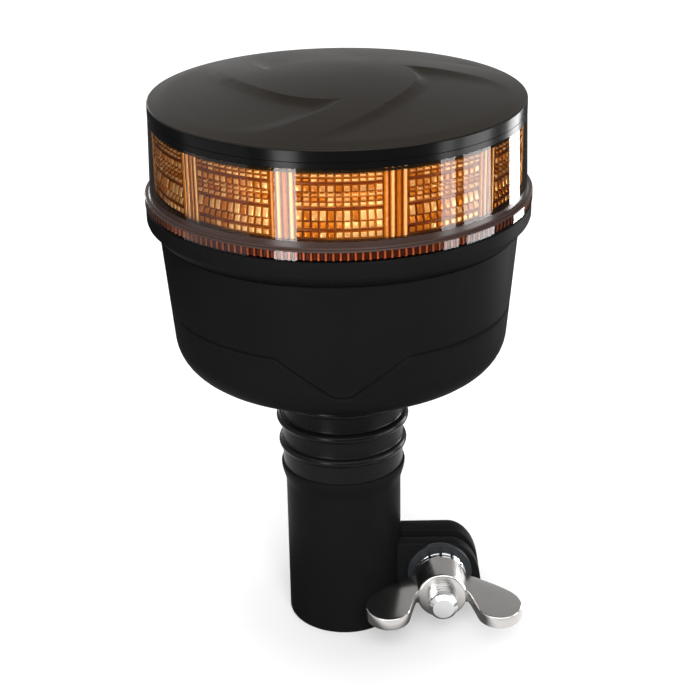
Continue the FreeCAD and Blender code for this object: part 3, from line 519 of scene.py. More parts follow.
class BeaconNeckSizes(bpy.types.PropertyGroup):
    """Sizes of the ribbed neck."""

    radius: length("Neck radius", "Radius of the neck between its beads", 20.8)
    bead_radius: length("Bead radius", "Outer radius of the lowest bead", 22.1)
    bead_step: length("Bead step", "How much wider each bead is than the one below", 0.65)
    bead_half: length("Bead half height", "Half the height of a bead", 1.6)
    bead_drop: length("Bead drop", "How far a bead's middle lies below its bend", 1.3)
    fillet: length("Fillet", "Radius of the hollow above a bead", 0.6)
    rib_pitch: length("Bead pitch", "Height from bead to bead", 9.4)
    hollow: length("Hollow", "Inner radius of the neck", 14.1)


class BeaconClampSizes(bpy.types.PropertyGroup):
    """Sizes of the pole socket, its clamp ears and its bolt."""

    tube_radius: length("Tube radius", "Outer radius of the pole socket", 20.0)
    flare: length("Flare", "How far the tube flares out under the neck", 1.5)
    flare_height: length("Flare height", "Height of the flared end", 8.0)
    tube_round: length("Tube round", "Rounding of the tube's bottom edge", 1.6)
    tube_edge: length("Tube edge", "Bevel of the tube's other edges", 0.5)
    spigot_radius: length("Spigot radius", "Radius of the spigot inside the neck", 14.0)
    bore_radius: length("Bore radius", "Radius of the bore for the pole", 12.1)
    bore_depth: length("Bore depth", "Height of the stop inside the bore", 43.0)
    stop_radius: length("Stop radius", "Radius of the opening in the stop", 9.0)
    stop_wall: length("Stop wall", "Thickness of the stop", 3.0)
    chamber_radius: length("Chamber radius", "Radius of the chamber above the stop", 10.5)
    slit_half: length("Slit", "Half the width of the slit", 2.35)
    slit_top: length("Slit top", "Height of the slit", 36.0)
    ear_root: length("Ear root", "Where the ears start inside the tube's wall", 16.0)
    ear_reach: length("Ear reach", "How far the ears reach from the axis", 48.5)
    ear_bottom: length("Ear bottom", "Height of the ears' bottom edge", 4.0)
    ear_top: length("Ear top", "Height of the ears' top edge", 29.0)
    ear_front: length("Front ear", "Distance of the front ear's face", 7.35)
    ear_back: length("Back ear", "Distance of the back ear's face", 9.35)
    ear_low_round: length("Ear low round", "Radius of the ears' lower corner", 5.0)
    ear_top_round: length("Ear top round", "Width of the ears' long upper corner", 11.5)
    ear_top_fall: length("Ear top fall", "Height of the ears' long upper corner", 18.0)
    ear_edge: length("Ear edge", "Rounding of the ears' edges", 0.7)
    hole_radius: length("Bolt hole", "Radius of the holes for the bolt", 5.3)
    head_radius: length("Bolt head", "Radius of the bolt's round head", 10.0)
    head_height: length("Bolt head height", "Height of the bolt's round head", 5.0)
    thread_major: length("Thread", "Outer radius of the thread", 4.95)
    thread_minor: length("Thread root", "Radius at the root of the thread", 4.2)
    thread_pitch: length("Thread pitch", "Distance from turn to turn", 1.5)
    thread_start: length("Thread start", "Distance at which the thread starts", 9.0)
    thread_bevel: length("Thread bevel", "Bevel at the end of the bolt", 1.3)
    tooth_depth: length("Tooth depth", "Depth of the lock ring's notches", 2.2)
    bead_height: length("Bead height", "How far the lock ring's two beads stand out", 0.6)
    washer_edge: length("Washer edge", "Rounding of the washer's edges", 0.35)
    boss_base: length("Boss base", "Radius of the wing nut's boss at its seat", 9.1)
    boss_top: length("Boss top", "Radius of the wing nut's boss at its front", 8.6)
    boss_height: length("Boss height", "Height of the wing nut's boss", 11.4)
    boss_round: length("Boss round", "Rounding of the boss's front edge", 0.9)
    wing_root: length("Wing root", "Where the wings start inside the boss", 5.1)
    wing_thickness: length("Wing thickness", "Thickness of the wings", 4.4)
    wing_edge: length("Wing edge", "Rounding of the wings' rims", 0.75)


class BeaconColours(bpy.types.PropertyGroup):
    """Colours of the finishes."""

    black: colour("Black plastic", "Moulded plastic of the drum and the socket", 0.0068, 0.0068, 0.007)
    cap: colour("Cap black", "Satin plastic of the dome", 0.0108, 0.0084, 0.0062)
    rubber: colour("Black rubber", "Rubber of the neck", 0.005, 0.005, 0.0052)
    amber: colour("Amber", "Tint of the lens, once through its skin", 1.0, 0.87, 0.68)
    flange: colour("Flange", "Reddish brown of the lens's edge, once through its skin", 0.85, 0.55, 0.45)
    foot: colour("Lens foot", "Greyish brown of the lens's plain foot", 0.04, 0.024, 0.02)
    # Prism colours are lit and shaded copies of one amber plastic: a painted highlight on the crowns, a
    # middle tone, and painted shade in the grooves and dark rows
    prism: colour("Prism", "Bright faces of the prism blocks", 1.0, 1.0, 0.95)
    prism_mid: colour("Prism middle", "Dull faces of the prism blocks", 0.58, 0.255, 0.02)
    prism_dark: colour("Prism shade", "Grooves between the prism blocks", 0.11, 0.02, 0.001)
    teeth: colour("Flange teeth", "Lit edges of the teeth inside the lens's flange", 1.0, 0.5, 0.18)
    teeth_dark: colour("Flange core", "Flanks of the teeth inside the lens's flange", 0.06, 0.025, 0.02)
    chrome: colour("Chrome", "Plating of the wing nut", 0.62, 0.60, 0.58)
    steel: colour("Steel", "Bright steel of the bolt", 0.72, 0.72, 0.73)
    washer: colour("Washer", "Dark grey of the disc", 0.016, 0.018, 0.02)


class BeaconStage(bpy.types.PropertyGroup):
    """Camera of the stage."""

    distance: length("Camera distance", "From the object's axis to the camera", 497.9)
    height: length("Camera height", "From the floor to the camera", 326.3)
    pitch: turn("Pitch", "How far the camera looks down", 24.32)
    yaw: turn("Yaw", "How far the camera looks to the right", 0.334)
    roll: turn("Roll", "How far the camera leans", -0.85)
    lens: FloatProperty(name="Lens", description="Focal length", default=82.79, unit="CAMERA")


# Pieces of the head


class BeaconCap(bpy.types.Operator):
    """Domed cap with a three-bladed swirl and a lined rim"""

    bl_idname = "beacon.cap"
    bl_label = "Cap"

    blades = 3
    land_lines = 25
    blade_lines = 51
    crown_rings = 13
    # Rings and samples on the three stretches from the tips to the shoulder
    swirl_rings = (36, 25, 31)
    edge_samples = (359, 159, 79)
    tip_samples = 400
    bevel_start = 75
    bevel_steps = 13
    crease_angle = math.radians(9)
    dome_depth = 0.05 * MM
    # Edges of a blade: radius in millimetres and angle in degrees
    lead_edge = ((25.2, 34.5), (28, 29.8), (31, 26), (34, 22.4), (38, 17.6), (42, 13.4), (46, 9.8),
                 (50, 5.6), (56, -1.7), (60, -7))
    trail_edge = ((25.2, -20), (25.6, -28), (26.2, -35), (27, -42), (29, -52.5), (32, -63.5),
                  (38.7, -78), (45, -88), (55, -99), (60, -104))

    def execute(self, context):
        sizes = context.scene.beacon_head
        top = high("top_cap").z
        seat = high("lens_ring").z + sizes.rim_lift
        radius = high("top_cap").x
        bevel = sizes.rim_bevel
        shoulder = radius - bevel
        dome = top - seat - sizes.rim_height
        edge = seat + sizes.rim_height
        crown = np.linspace(0, sizes.swirl_tip, self.crown_rings, endpoint=False)
        radii = np.concatenate([crown, self.rings(sizes, shoulder, self.swirl_rings)])
        ball = (shoulder ** 2 + dome ** 2) / (2 * dome)

        def height(distance):
            return top - ball + np.sqrt(ball ** 2 - distance ** 2)

        groove = sizes.line_depth
        line = seat + sizes.line_height
        lip = radius - sizes.lens_wall - sizes.lip_gap
        inside, foot, ceiling = lip - sizes.lip_wall, seat - sizes.lip_depth, seat + sizes.ceiling
        profile = [
            *[(float(r), float(height(r))) for r in radii],
            *arc((shoulder, edge - bevel), bevel, self.bevel_start, 0, self.bevel_steps),
            (radius, line + groove), (radius - groove, line + groove / 2), (radius, line), (radius, seat),
            (lip, seat), (lip, foot), (inside, foot), (inside, ceiling), (0, ceiling),
        ]
        lines = self.blades * (self.land_lines + self.blade_lines)
        piece = turned("cap_dome", profile, lines)
        self.carve(piece, sizes, height, shoulder, lines)
        smooth(piece, self.crease_angle)
        paint(piece, "cap", "rim")
        for face in piece.data.polygons:
            face.material_index = int(face.center.z < edge - bevel / 2)
        settle(piece, "head", "black_plastic", "top_cap")
        return {"FINISHED"}

    def rings(self, sizes, shoulder, counts):
        """Radii from the blades' tips to the shoulder, closest together where the edges start."""
        ends = (sizes.swirl_tip, sizes.swirl_root, sizes.swirl_bend, shoulder)
        stretches = [np.linspace(start, end, count + 1) for start, end, count in zip(ends, ends[1:], counts)]
        return np.unique(np.concatenate(stretches))

    def turn_of(self, edge, reach):
        """Angles of a blade's edge at these distances from the middle."""
        radii, angles = zip(*edge)
        return np.radians(np.interp(reach / MM, radii, angles))

    def carve(self, piece, sizes, height, shoulder, lines):
        """Lay the dome's lines along the edges of the blades and sink the blades."""
        places = np.empty(len(piece.data.vertices) * 3, np.float32)
        piece.data.vertices.foreach_get("co", places)
        places = places.reshape(-1, 3).astype(float)
        reach = np.hypot(places[:, 0], places[:, 1])
        under = height(np.minimum(reach, shoulder)) - self.dome_depth
        dome = (reach <= shoulder + MERGE_DISTANCE) & (places[:, 2] > under)
        angle = np.arctan2(places[:, 1], places[:, 0]) - FRONT
        number = np.rint(angle / FULL_TURN * lines).astype(int) % lines
        third = lines // self.blades
        blade, step = number // third, number % third
        lead, trail = self.turn_of(self.lead_edge, reach), self.turn_of(self.trail_edge, reach)
        sunk = step <= self.blade_lines
        in_blade = trail + (lead - trail) * step / self.blade_lines
        land = trail + FULL_TURN / self.blades - lead
        on_land = lead + land * (step - self.blade_lines) / self.land_lines
        local = np.where(sunk, in_blade, on_land)
        spot = reach * np.exp(1j * local)
        spans = self.rings(sizes, shoulder, self.edge_samples)
        lead_line, trail_line = [spans * np.exp(1j * self.turn_of(edge, spans))
                                 for edge in (self.lead_edge, self.trail_edge)]
        tip_turns = np.linspace(self.lead_edge[0][1], self.trail_edge[0][1], self.tip_samples)
        tip_line = sizes.swirl_tip * np.exp(1j * np.radians(tip_turns))

        def slope(line, width):
            gap = np.abs(spot[:, None] - line[None, :]).min(axis=1)
            return np.sin(np.clip(gap / width, 0, 1) * math.pi / 2)

        sink = slope(lead_line, sizes.lead_slope)
        sink *= slope(np.concatenate([tip_line, trail_line]), sizes.trail_slope)
        fall = np.clip(1 - (reach / sizes.swirl_end) ** 2, 0, None) * sizes.swirl_depth
        wanted = dome & sunk & (reach > sizes.swirl_tip)
        turned_to = local + blade * FULL_TURN / self.blades
        places[:, 0] = np.where(reach > 0, reach * np.cos(turned_to), places[:, 0])
        places[:, 1] = np.where(reach > 0, reach * np.sin(turned_to), places[:, 1])
        places[:, 2] -= np.where(wanted, sink * fall, 0)
        piece.data.vertices.foreach_set("co", places.astype(np.float32).ravel())
        piece.data.update()


class BeaconLens(bpy.types.Operator):
    """Amber ring with its flange, and the fine teeth moulded inside the flange"""

    bl_idname = "beacon.lens"
    bl_label = "Lens"

    steps = 360
    core_steps = 720
    tooth_steps = 4
    # Places of the finishes after the first
    wall_slot, flange_slot, foot_slot = 1, 2, 3

    def execute(self, context):
        sizes = context.scene.beacon_head
        bottom, top = low("lens_ring").z, high("lens_ring").z + sizes.rim_lift
        flange, upper = high("lens_ring").x, high("top_cap").x
        skin = flange - sizes.flange_width
        inner = upper - sizes.lens_wall
        shelf = bottom + sizes.flange_height
        foot = shelf + sizes.lens_foot
        wall, edge = sizes.skin, sizes.flange_bevel
        waist = skin + (upper - skin) * (foot - shelf) / (top - shelf)
        ring = turned("amber_lens", [
            (inner, bottom), (flange - edge, bottom), (flange, bottom + edge), (flange, shelf - edge),
            (flange - edge, shelf), (skin + edge, shelf), (skin, shelf + edge), (waist, foot),
            (upper, top), (upper - wall, top), (waist - wall, foot), (inner, foot), (inner, bottom),
        ], self.steps)
        smooth(ring)
        paint(ring, "lens_skin", "lens_wall", "flange", "foot")
        for face in ring.data.polygons:
            if face.center.z < shelf - edge:
                face.material_index = self.flange_slot
            elif face.center.z < foot + MERGE_DISTANCE:
                face.material_index = self.foot_slot
            elif face.center.xy.dot(face.normal.xy) < 0:
                face.material_index = self.wall_slot
        settle(ring, "head", "amber_lens", "lens_ring")
        settle(self.teeth(sizes, inner, flange, bottom, shelf), "head", "amber_lens")
        return {"FINISHED"}

    def teeth(self, sizes, inner, flange, bottom, shelf):
        """Serrated core of the flange, seen through its clear edge, with one flank a tooth painted in the lit
        colour, a painted highlight.
        """
        depth = sizes.flange_tooth
        tip, root, floor, roof = flange - depth, inner + depth, bottom + depth, shelf - depth
        profile = [(root, floor), (tip, floor), (tip, roof), (root, roof), (root, floor)]
        piece = turned("flange_teeth", profile, self.core_steps)

        def step(place):
            return (math.atan2(place.y, place.x) - FRONT) / FULL_TURN * self.core_steps

        for point in piece.data.vertices:
            reach = point.co.xy.length
            if reach > tip - depth and round(step(point.co)) % self.tooth_steps >= self.tooth_steps / 2:
                point.co.xy *= (reach - depth) / reach
        smooth(piece)
        paint(piece, "teeth_dark", "teeth")
        # One face in four takes the lit tooth colour, a painted highlight
        for face in piece.data.polygons:
            face.material_index = int(math.floor(step(face.center)) % self.tooth_steps == 0)
        return piece


class BeaconPrisms(bpy.types.Operator):
    """Eleven panels of prism blocks behind the lens, and the ribbed strips between them"""

    bl_idname = "beacon.prisms"
    bl_label = "Prisms"

    panels = 11
    columns = 11
    half_angle = 12.6
    # Rows from the top: share of the height, lean and kind; rows of the dark kind are plain bands painted
    # with the groove shade, a painted shade between the rows of blocks
    rows = (
        (5.0, 0, "dark"), (4.5, 1.5, "block"), (4.5, 0.4, "block"), (2.0, 0, "dark"), (7.5, 0.4, "block"),
        (4.5, 1.4, "block"), (5.0, 1.6, "block"), (5.0, 1.5, "block"), (2.5, 0, "dark"), (11.0, 1.3, "block"),
        (8.0, 1.6, "block"), (2.0, 0, "dark"), (7.0, 0.3, "block"), (1.0, 0, "plain"),
    )
    # Steps up a block's edge: width and rise
    block_steps = ((1.0, 0), (1.0, 0.5), (1.3, 0.28), (1.5, 0.16), (1.8, 0.06))
    crown_steps = 3.3
    ledge = 0.8
    # Places of the finishes after the first: the crowns' painted highlight and the slopes' painted shade
    crown_slot, slope_slot = 1, 2
    seed = 7
    # What a block's brightness owes to its row, to chance and to its column; the column's share makes one
    # side of each panel brighter, a painted lit side
    row_share, block_share, column_share = 0.26, 0.42, 0.32
    # Painted highlight level of each rib
    rib_levels = (0.75, 1.0, 0.55, 1.0)
    rib_points = 9
    rib_bulge = 0.45
    rib_smooth = math.radians(50)
    # Below this share of the bulge a rib's valley is painted with the groove shade
    valley = 0.45

    def execute(self, context):
        sizes = context.scene.beacon_head
        bottom = low("lens_ring").z + sizes.flange_height + sizes.lens_foot
        top = high("lens_ring").z + sizes.rim_lift
        reach = high("top_cap").x - sizes.skin - sizes.block_rise - sizes.block_lean
        panel = self.panel(sizes, reach, bottom, top)
        strip = self.strip(sizes, reach, bottom, top)
        pieces = [panel, strip]
        for number in range(1, self.panels):
            for first, label in ((panel, "prism_panel"), (strip, "rib_strip")):
                copy = duplicate(first, f"{label}_{number + 1:02d}")
                copy.rotation_euler.z = number * FULL_TURN / self.panels
                bpy.ops.object.transform_apply(rotation=True)
                pieces.append(copy)
        for piece in pieces:
            settle(piece, "head", "amber_lens")
        return {"FINISHED"}

    def panel(self, sizes, reach, bottom, top):
        """One curved panel: rows that lean by different amounts, each cut into raised blocks."""
        tall = sum(share for share, lean, kind in self.rows)
        profile, bands, level = [], [], top
        for share, lean, kind in self.rows:
            lower = level - share / tall * (top - bottom)
            shift = lean * sizes.block_lean
            profile += [(reach - shift / 2, level), (reach + shift / 2, lower)]
            bands.append((lower, level, kind))
            level = lower
        sweep = math.radians(2 * self.half_angle)
        piece = turned("prism_panel_01", profile, self.columns, FRONT - sweep / 2, sweep)
        self.face_out(piece)
        blocks = [(lower, upper) for lower, upper, kind in bands if kind == "block"]
        pick_faces(piece, lambda centre, normal: abs(normal.z) < self.ledge
                   and any(lower < centre.z < upper for lower, upper in blocks))
        for width, rise in self.block_steps:
            bpy.ops.mesh.inset(thickness=width * sizes.block_gap, depth=rise * sizes.block_rise,
                               use_individual=True, use_even_offset=True)
        done()
        modify(piece, "SOLIDIFY", thickness=sizes.panel_wall, offset=-1)
        smooth(piece)
        paint(piece, "prism_shade", "prism", "prism_slope")
        self.sort_faces(piece, sizes, bands, sweep)
        return piece

    def sort_faces(self, piece, sizes, bands, sweep):
        """Painted shade in the grooves and dark rows, a duller tone on the slopes, and crowns with a painted
        highlight at a level of their own, painted brighter to one side.
        """
        draw = np.random.default_rng(self.seed)
        by_row, by_block = draw.random((len(bands), 1)), draw.random((len(bands), self.columns))
        # Painted lit side: brightness rising from one side of the panel to the other
        by_column = np.linspace(0, 1, self.columns)
        levels = self.row_share * by_row + self.block_share * by_block + self.column_share * by_column
        marks = piece.data.attributes.new("level", "FLOAT", "FACE")
        for face in piece.data.polygons:
            centre = face.center
            along = (math.atan2(centre.y, centre.x) - FRONT) / sweep + 1 / 2
            along = held(along, 1.0 - MERGE_DISTANCE) * self.columns
            column = int(along)
            row = next((n for n, (a, b, kind) in enumerate(bands) if a <= centre.z <= b), 0)
            bottom, top, kind = bands[row]
            side = min(along - column, column + 1 - along) * sweep / self.columns * centre.xy.length
            edge = min(side, centre.z - bottom, top - centre.z) / sizes.block_gap
            marks.data[face.index].value = levels[row, column]
            # Dark rows and grooves keep the painted groove shade; outward faces take the crowns' painted
            # highlight or the slopes' painted shade
            if kind != "dark" and face.normal.xy.dot(centre.xy) > 0:
                face.material_index = self.crown_slot if edge > self.crown_steps else self.slope_slot

    def face_out(self, panel):
        """Turn an open sheet's faces away from the axis."""
        face = max(panel.data.polygons, key=lambda each: each.area)
        if face.normal.xy.dot(face.center.xy) < 0:
            edit(panel)
            select_all()
            bpy.ops.mesh.flip_normals()
            done()

    def strip(self, sizes, reach, bottom, top):
        """Half-round upright ribs between two panels, painted with the groove shade in their valleys and
        brighter towards their crests, a painted highlight.
        """
        start, end = self.half_angle, 360 / self.panels - self.half_angle
        pitch = (end - start) / len(self.rib_levels)
        bulge = math.radians(pitch) * reach * self.rib_bulge
        points = []
        for rib in range(len(self.rib_levels)):
            for spot in np.linspace(0, 1, self.rib_points)[rib > 0:]:
                angle = FRONT + math.radians(start + (rib + spot) * pitch)
                radius = reach + bulge * math.sin(math.pi * spot)
                points.append((radius * math.cos(angle), radius * math.sin(angle), bottom))
        piece = trace("rib_strip_01", points)
        select_all()
        extrude((0, 0, top - bottom))
        done()
        self.face_out(piece)
        modify(piece, "SOLIDIFY", thickness=sizes.panel_wall, offset=-1)
        smooth(piece, self.rib_smooth)
        paint(piece, "prism_shade", "rib")
        marks = piece.data.attributes.new("level", "FLOAT", "FACE")
        # Painted shade in the valleys, and a painted highlight that rises towards each crest at the rib's own
        # level
        for face in piece.data.polygons:
            share = (face.center.xy.length - reach) / bulge
            face.material_index = int(share > self.valley)
            angle = math.degrees(math.atan2(face.center.y, face.center.x) - FRONT)
            rib = int(held((angle - start) / pitch, len(self.rib_levels) - 1))
            marks.data[face.index].value = held(share) * self.rib_levels[rib]
        return piece


class BeaconDrum(bpy.types.Operator):
    """Tapered drum with a chamfered collar and the moulded vee line"""

    bl_idname = "beacon.drum"
    bl_label = "Drum"

    steps = 360
    knee_steps = 16
    lower_rows, upper_rows = 22, 10
    line_share = 0.2
    screws = 3
    well_steps = 48

    def execute(self, context):
        sizes = context.scene.beacon_head
        floor = low("base_housing").z
        collar = high("base_housing").x
        seat = low("lens_ring").z
        crease = collar - sizes.collar_step
        bottom = crease - sizes.taper
        crease_z = floor + sizes.crease_height
        chamfer_z = crease_z + sizes.chamfer_height
        slope = math.atan2(sizes.taper, sizes.crease_height)
        curve = sizes.bottom_round
        flat = bottom - curve * math.tan((math.pi / 2 - slope) / 2)
        knee = arc((flat, floor + curve), curve, -90, -math.degrees(slope), self.knee_steps)
        reaches, heights = zip(*knee, (crease, crease_z))
        line = floor + sizes.vee_height
        half = sizes.vee_groove / 2
        rows = np.concatenate([
            np.linspace(knee[1][1], line - half, self.lower_rows), [line + half * self.line_share],
            np.linspace(line + half, crease_z, self.upper_rows)])
        wall_points = [(float(np.interp(z, heights, reaches)), float(z)) for z in rows]
        neck, roof = sizes.drum_opening, floor + sizes.drum_floor
        inner = high("top_cap").x - sizes.lens_wall
        wall, edge, groove = sizes.drum_wall, sizes.collar_edge, sizes.crease_groove
        piece = turned("drum_housing", [
            (neck, floor), (flat, floor), *wall_points,
            (crease - sizes.crease_depth, crease_z + groove / 2),
            (crease + sizes.collar_step * groove / sizes.chamfer_height, crease_z + groove),
            (collar - edge / 2, chamfer_z - edge), (collar, chamfer_z + edge / 2),
            (collar, seat - edge), (collar - edge, seat), (inner, seat), (inner, chamfer_z),
            (crease - wall, crease_z), (bottom - wall, floor + curve),
            (flat, roof), (neck, roof), (neck, floor),
        ], self.steps)
        self.dip(piece, sizes, rows, heights, reaches, line, half)
        for cutter in self.screw_wells(sizes):
            combine(piece, cutter, "DIFFERENCE")
        complete(piece, "drum", "head", "black_plastic", "base_housing")
        return {"FINISHED"}

    def screw_wells(self, sizes):
        """Cutters for the wells of the long screws."""
        circle = high("tie_screws").y - sizes.screw_head
        for number in range(self.screws):
            angle = -FRONT + number * FULL_TURN / self.screws
            clear_selection()
            bpy.ops.mesh.primitive_cylinder_add(
                vertices=self.well_steps, radius=sizes.well_radius, depth=2 * sizes.well_depth,
                location=(circle * math.cos(angle), circle * math.sin(angle), low("base_housing").z))
            bpy.ops.object.transform_apply(location=True)
            yield bpy.context.object

    def dip(self, piece, sizes, rows, heights, reaches, line, half):
        """Lead the rows round the moulded line down into the vee, and press the line in."""
        bottom, top = rows[0], rows[-1]
        for point in piece.data.vertices:
            x, y, z = point.co
            reach = math.hypot(x, y)
            outer = float(np.interp(z, heights, reaches))
            if max(np.abs(rows - z).min(), abs(outer - reach)) > MERGE_DISTANCE:
                continue
            share = (sizes.vee_half - abs(x)) / (sizes.vee_half - sizes.vee_flat)
            drop = sizes.vee_dip * held(share) if y < 0 else 0.0
            if z <= line + half:
                fade = held((z - bottom) / (line - half - bottom))
            else:
                fade = (top - z) / (top - line - half)
            new_z = z - drop * fade
            new_reach = float(np.interp(new_z, heights, reaches))
            if abs(z - line) < half / 2:
                new_reach -= sizes.vee_depth
            point.co = (x * new_reach / reach, y * new_reach / reach, new_z)
        piece.data.update()


# Pieces of the neck and of the clamp


class BeaconNeck(bpy.types.Operator):
    """Ribbed rubber neck in two halves"""

    bl_idname = "beacon.neck"
    bl_label = "Neck"

    steps = 144
    beads = 3
    bead_steps, fillet_steps = 12, 6
    smooth_angle = math.radians(50)

    def bead(self, sizes, outer, level):
        """Outer profile of one half-round bead, from its lower corner to the hollow above it."""
        half, fillet, radius = sizes.bead_half, sizes.fillet, sizes.radius
        hollow = arc((radius + fillet, level + half + fillet), fillet, 270, 180, self.fillet_steps)
        return [(radius, level - half), *arc((outer - half, level), half, -90, 90, self.bead_steps), *hollow]

    def execute(self, context):
        sizes = context.scene.beacon_neck
        bottom = low("neck_lower").z
        drum = low("base_housing").z
        pitch = sizes.rib_pitch
        profile = [(sizes.radius, bottom)]
        for number in range(self.beads):
            level = bottom + (number + 1) * pitch - sizes.bead_drop
            profile += self.bead(sizes, sizes.bead_radius + number * sizes.bead_step, level)
        profile += [(sizes.radius, drum), (sizes.hollow, drum)]
        first_bend, second_bend = bottom + pitch, bottom + 2 * pitch
        split = (first_bend + second_bend) / 2
        waist, core, foot = (sizes.radius, split), (sizes.hollow, split), (sizes.hollow, bottom)
        lower = [foot, *[point for point in profile if point[1] < split], waist, core, foot]
        upper = [core, waist, *[point for point in profile if point[1] > split], core]
        reach = pitch / 2 - sizes.fillet
        for label, points, pair, bend, *nodes in (
                ("neck_bellows_lower", lower, ("socket", "neck_link"), first_bend, "neck_lower"),
                ("neck_bellows_upper", upper, ("neck_link", "head"), second_bend,
                 "neck_middle", "neck_upper")):
            piece = turned(label, points, self.steps)
            smooth(piece, self.smooth_angle)
            paint(piece, "rubber")
            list(pair)
            bend - reach
            bend + reach
            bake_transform(piece)
            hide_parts(*nodes)
        return {"FINISHED"}


class BeaconSocket(bpy.types.Operator):
    """Pole socket with its split clamp ears"""

    bl_idname = "beacon.socket"
    bl_label = "Pole socket"

    steps = 128
    round_steps, edge_steps, flare_steps, corner_steps = 8, 6, 6, 16

    def execute(self, context):
        sizes = context.scene.beacon_clamp
        spigot_top = high("pole_socket").z
        radius, bore, edge = sizes.tube_radius, sizes.bore_radius, sizes.tube_edge
        tube_top = low("neck_lower").z
        lip = radius + sizes.flare
        spigot, chamber, stop = sizes.spigot_radius, sizes.chamber_radius, sizes.bore_depth
        roof = stop + sizes.stop_wall
        curve, slit, hole = sizes.tube_round, sizes.slit_half, sizes.hole_radius
        piece = turned("socket_tube", [
            (bore + edge, 0), *arc((radius - curve, curve), curve, -90, 0, self.round_steps),
            *self.flare(sizes, radius, tube_top),
            *arc((lip - edge, tube_top - edge), edge, 0, 90, self.edge_steps),
            (spigot, tube_top), (spigot, spigot_top), (chamber, spigot_top), (chamber, roof),
            (sizes.stop_radius, roof), (sizes.stop_radius, stop),
            (bore, stop), (bore, edge), (bore + edge, 0),
        ], self.steps)
        for front, back in ((-sizes.ear_front, -slit), (slit, sizes.ear_back)):
            combine(piece, self.ear(sizes, front, back), "UNION")
        reach = 2 * sizes.ear_reach
        opening = [(0, -slit, -edge), (reach, -slit, -edge), (reach, slit, -edge), (0, slit, -edge)]
        core = [(0, -edge), (bore, -edge), (bore, stop - edge), (0, stop - edge)]
        drill = [(0, -radius), (hole, -radius), (hole, radius), (0, radius)]
        for cutter in (slab("slit", opening, (0, 0, sizes.slit_top + edge)),
                       turned("bore_core", core, self.steps),
                       turned_on_bolt("bolt_hole", drill, self.steps)):
            combine(piece, cutter, "DIFFERENCE")
        complete(piece, "socket", "socket", "black_plastic", "pole_socket")
        return {"FINISHED"}

    def flare(self, sizes, radius, tube_top):
        """Profile of the flared end, from the straight tube up to its lip."""
        start, tall = tube_top - sizes.flare_height, sizes.flare_height - sizes.tube_edge
        return [(radius + sizes.flare * math.sin(share * math.pi / 2) ** 2, start + share * tall)
                for share in np.linspace(0, 1, self.flare_steps + 1)]

    def ear(self, sizes, front, back):
        """One clamp ear with rounded edges."""
        low_round, top_round, fall = sizes.ear_low_round, sizes.ear_top_round, sizes.ear_top_fall
        low_centre = (sizes.ear_reach - low_round, sizes.ear_bottom + low_round)
        outline = [
            (sizes.ear_root, sizes.ear_bottom), *arc(low_centre, low_round, -90, 0, self.round_steps),
            *[(sizes.ear_reach - top_round * (1 - x), sizes.ear_top - fall * (1 - z))
              for x, z in arc((0, 0), 1, 0, 90, self.corner_steps)],
            (sizes.ear_root, sizes.ear_top)]
        piece = slab("ear", [(x, front, z) for x, z in outline], (0, back - front, 0))
        soften(piece, sizes.ear_edge)
        return piece


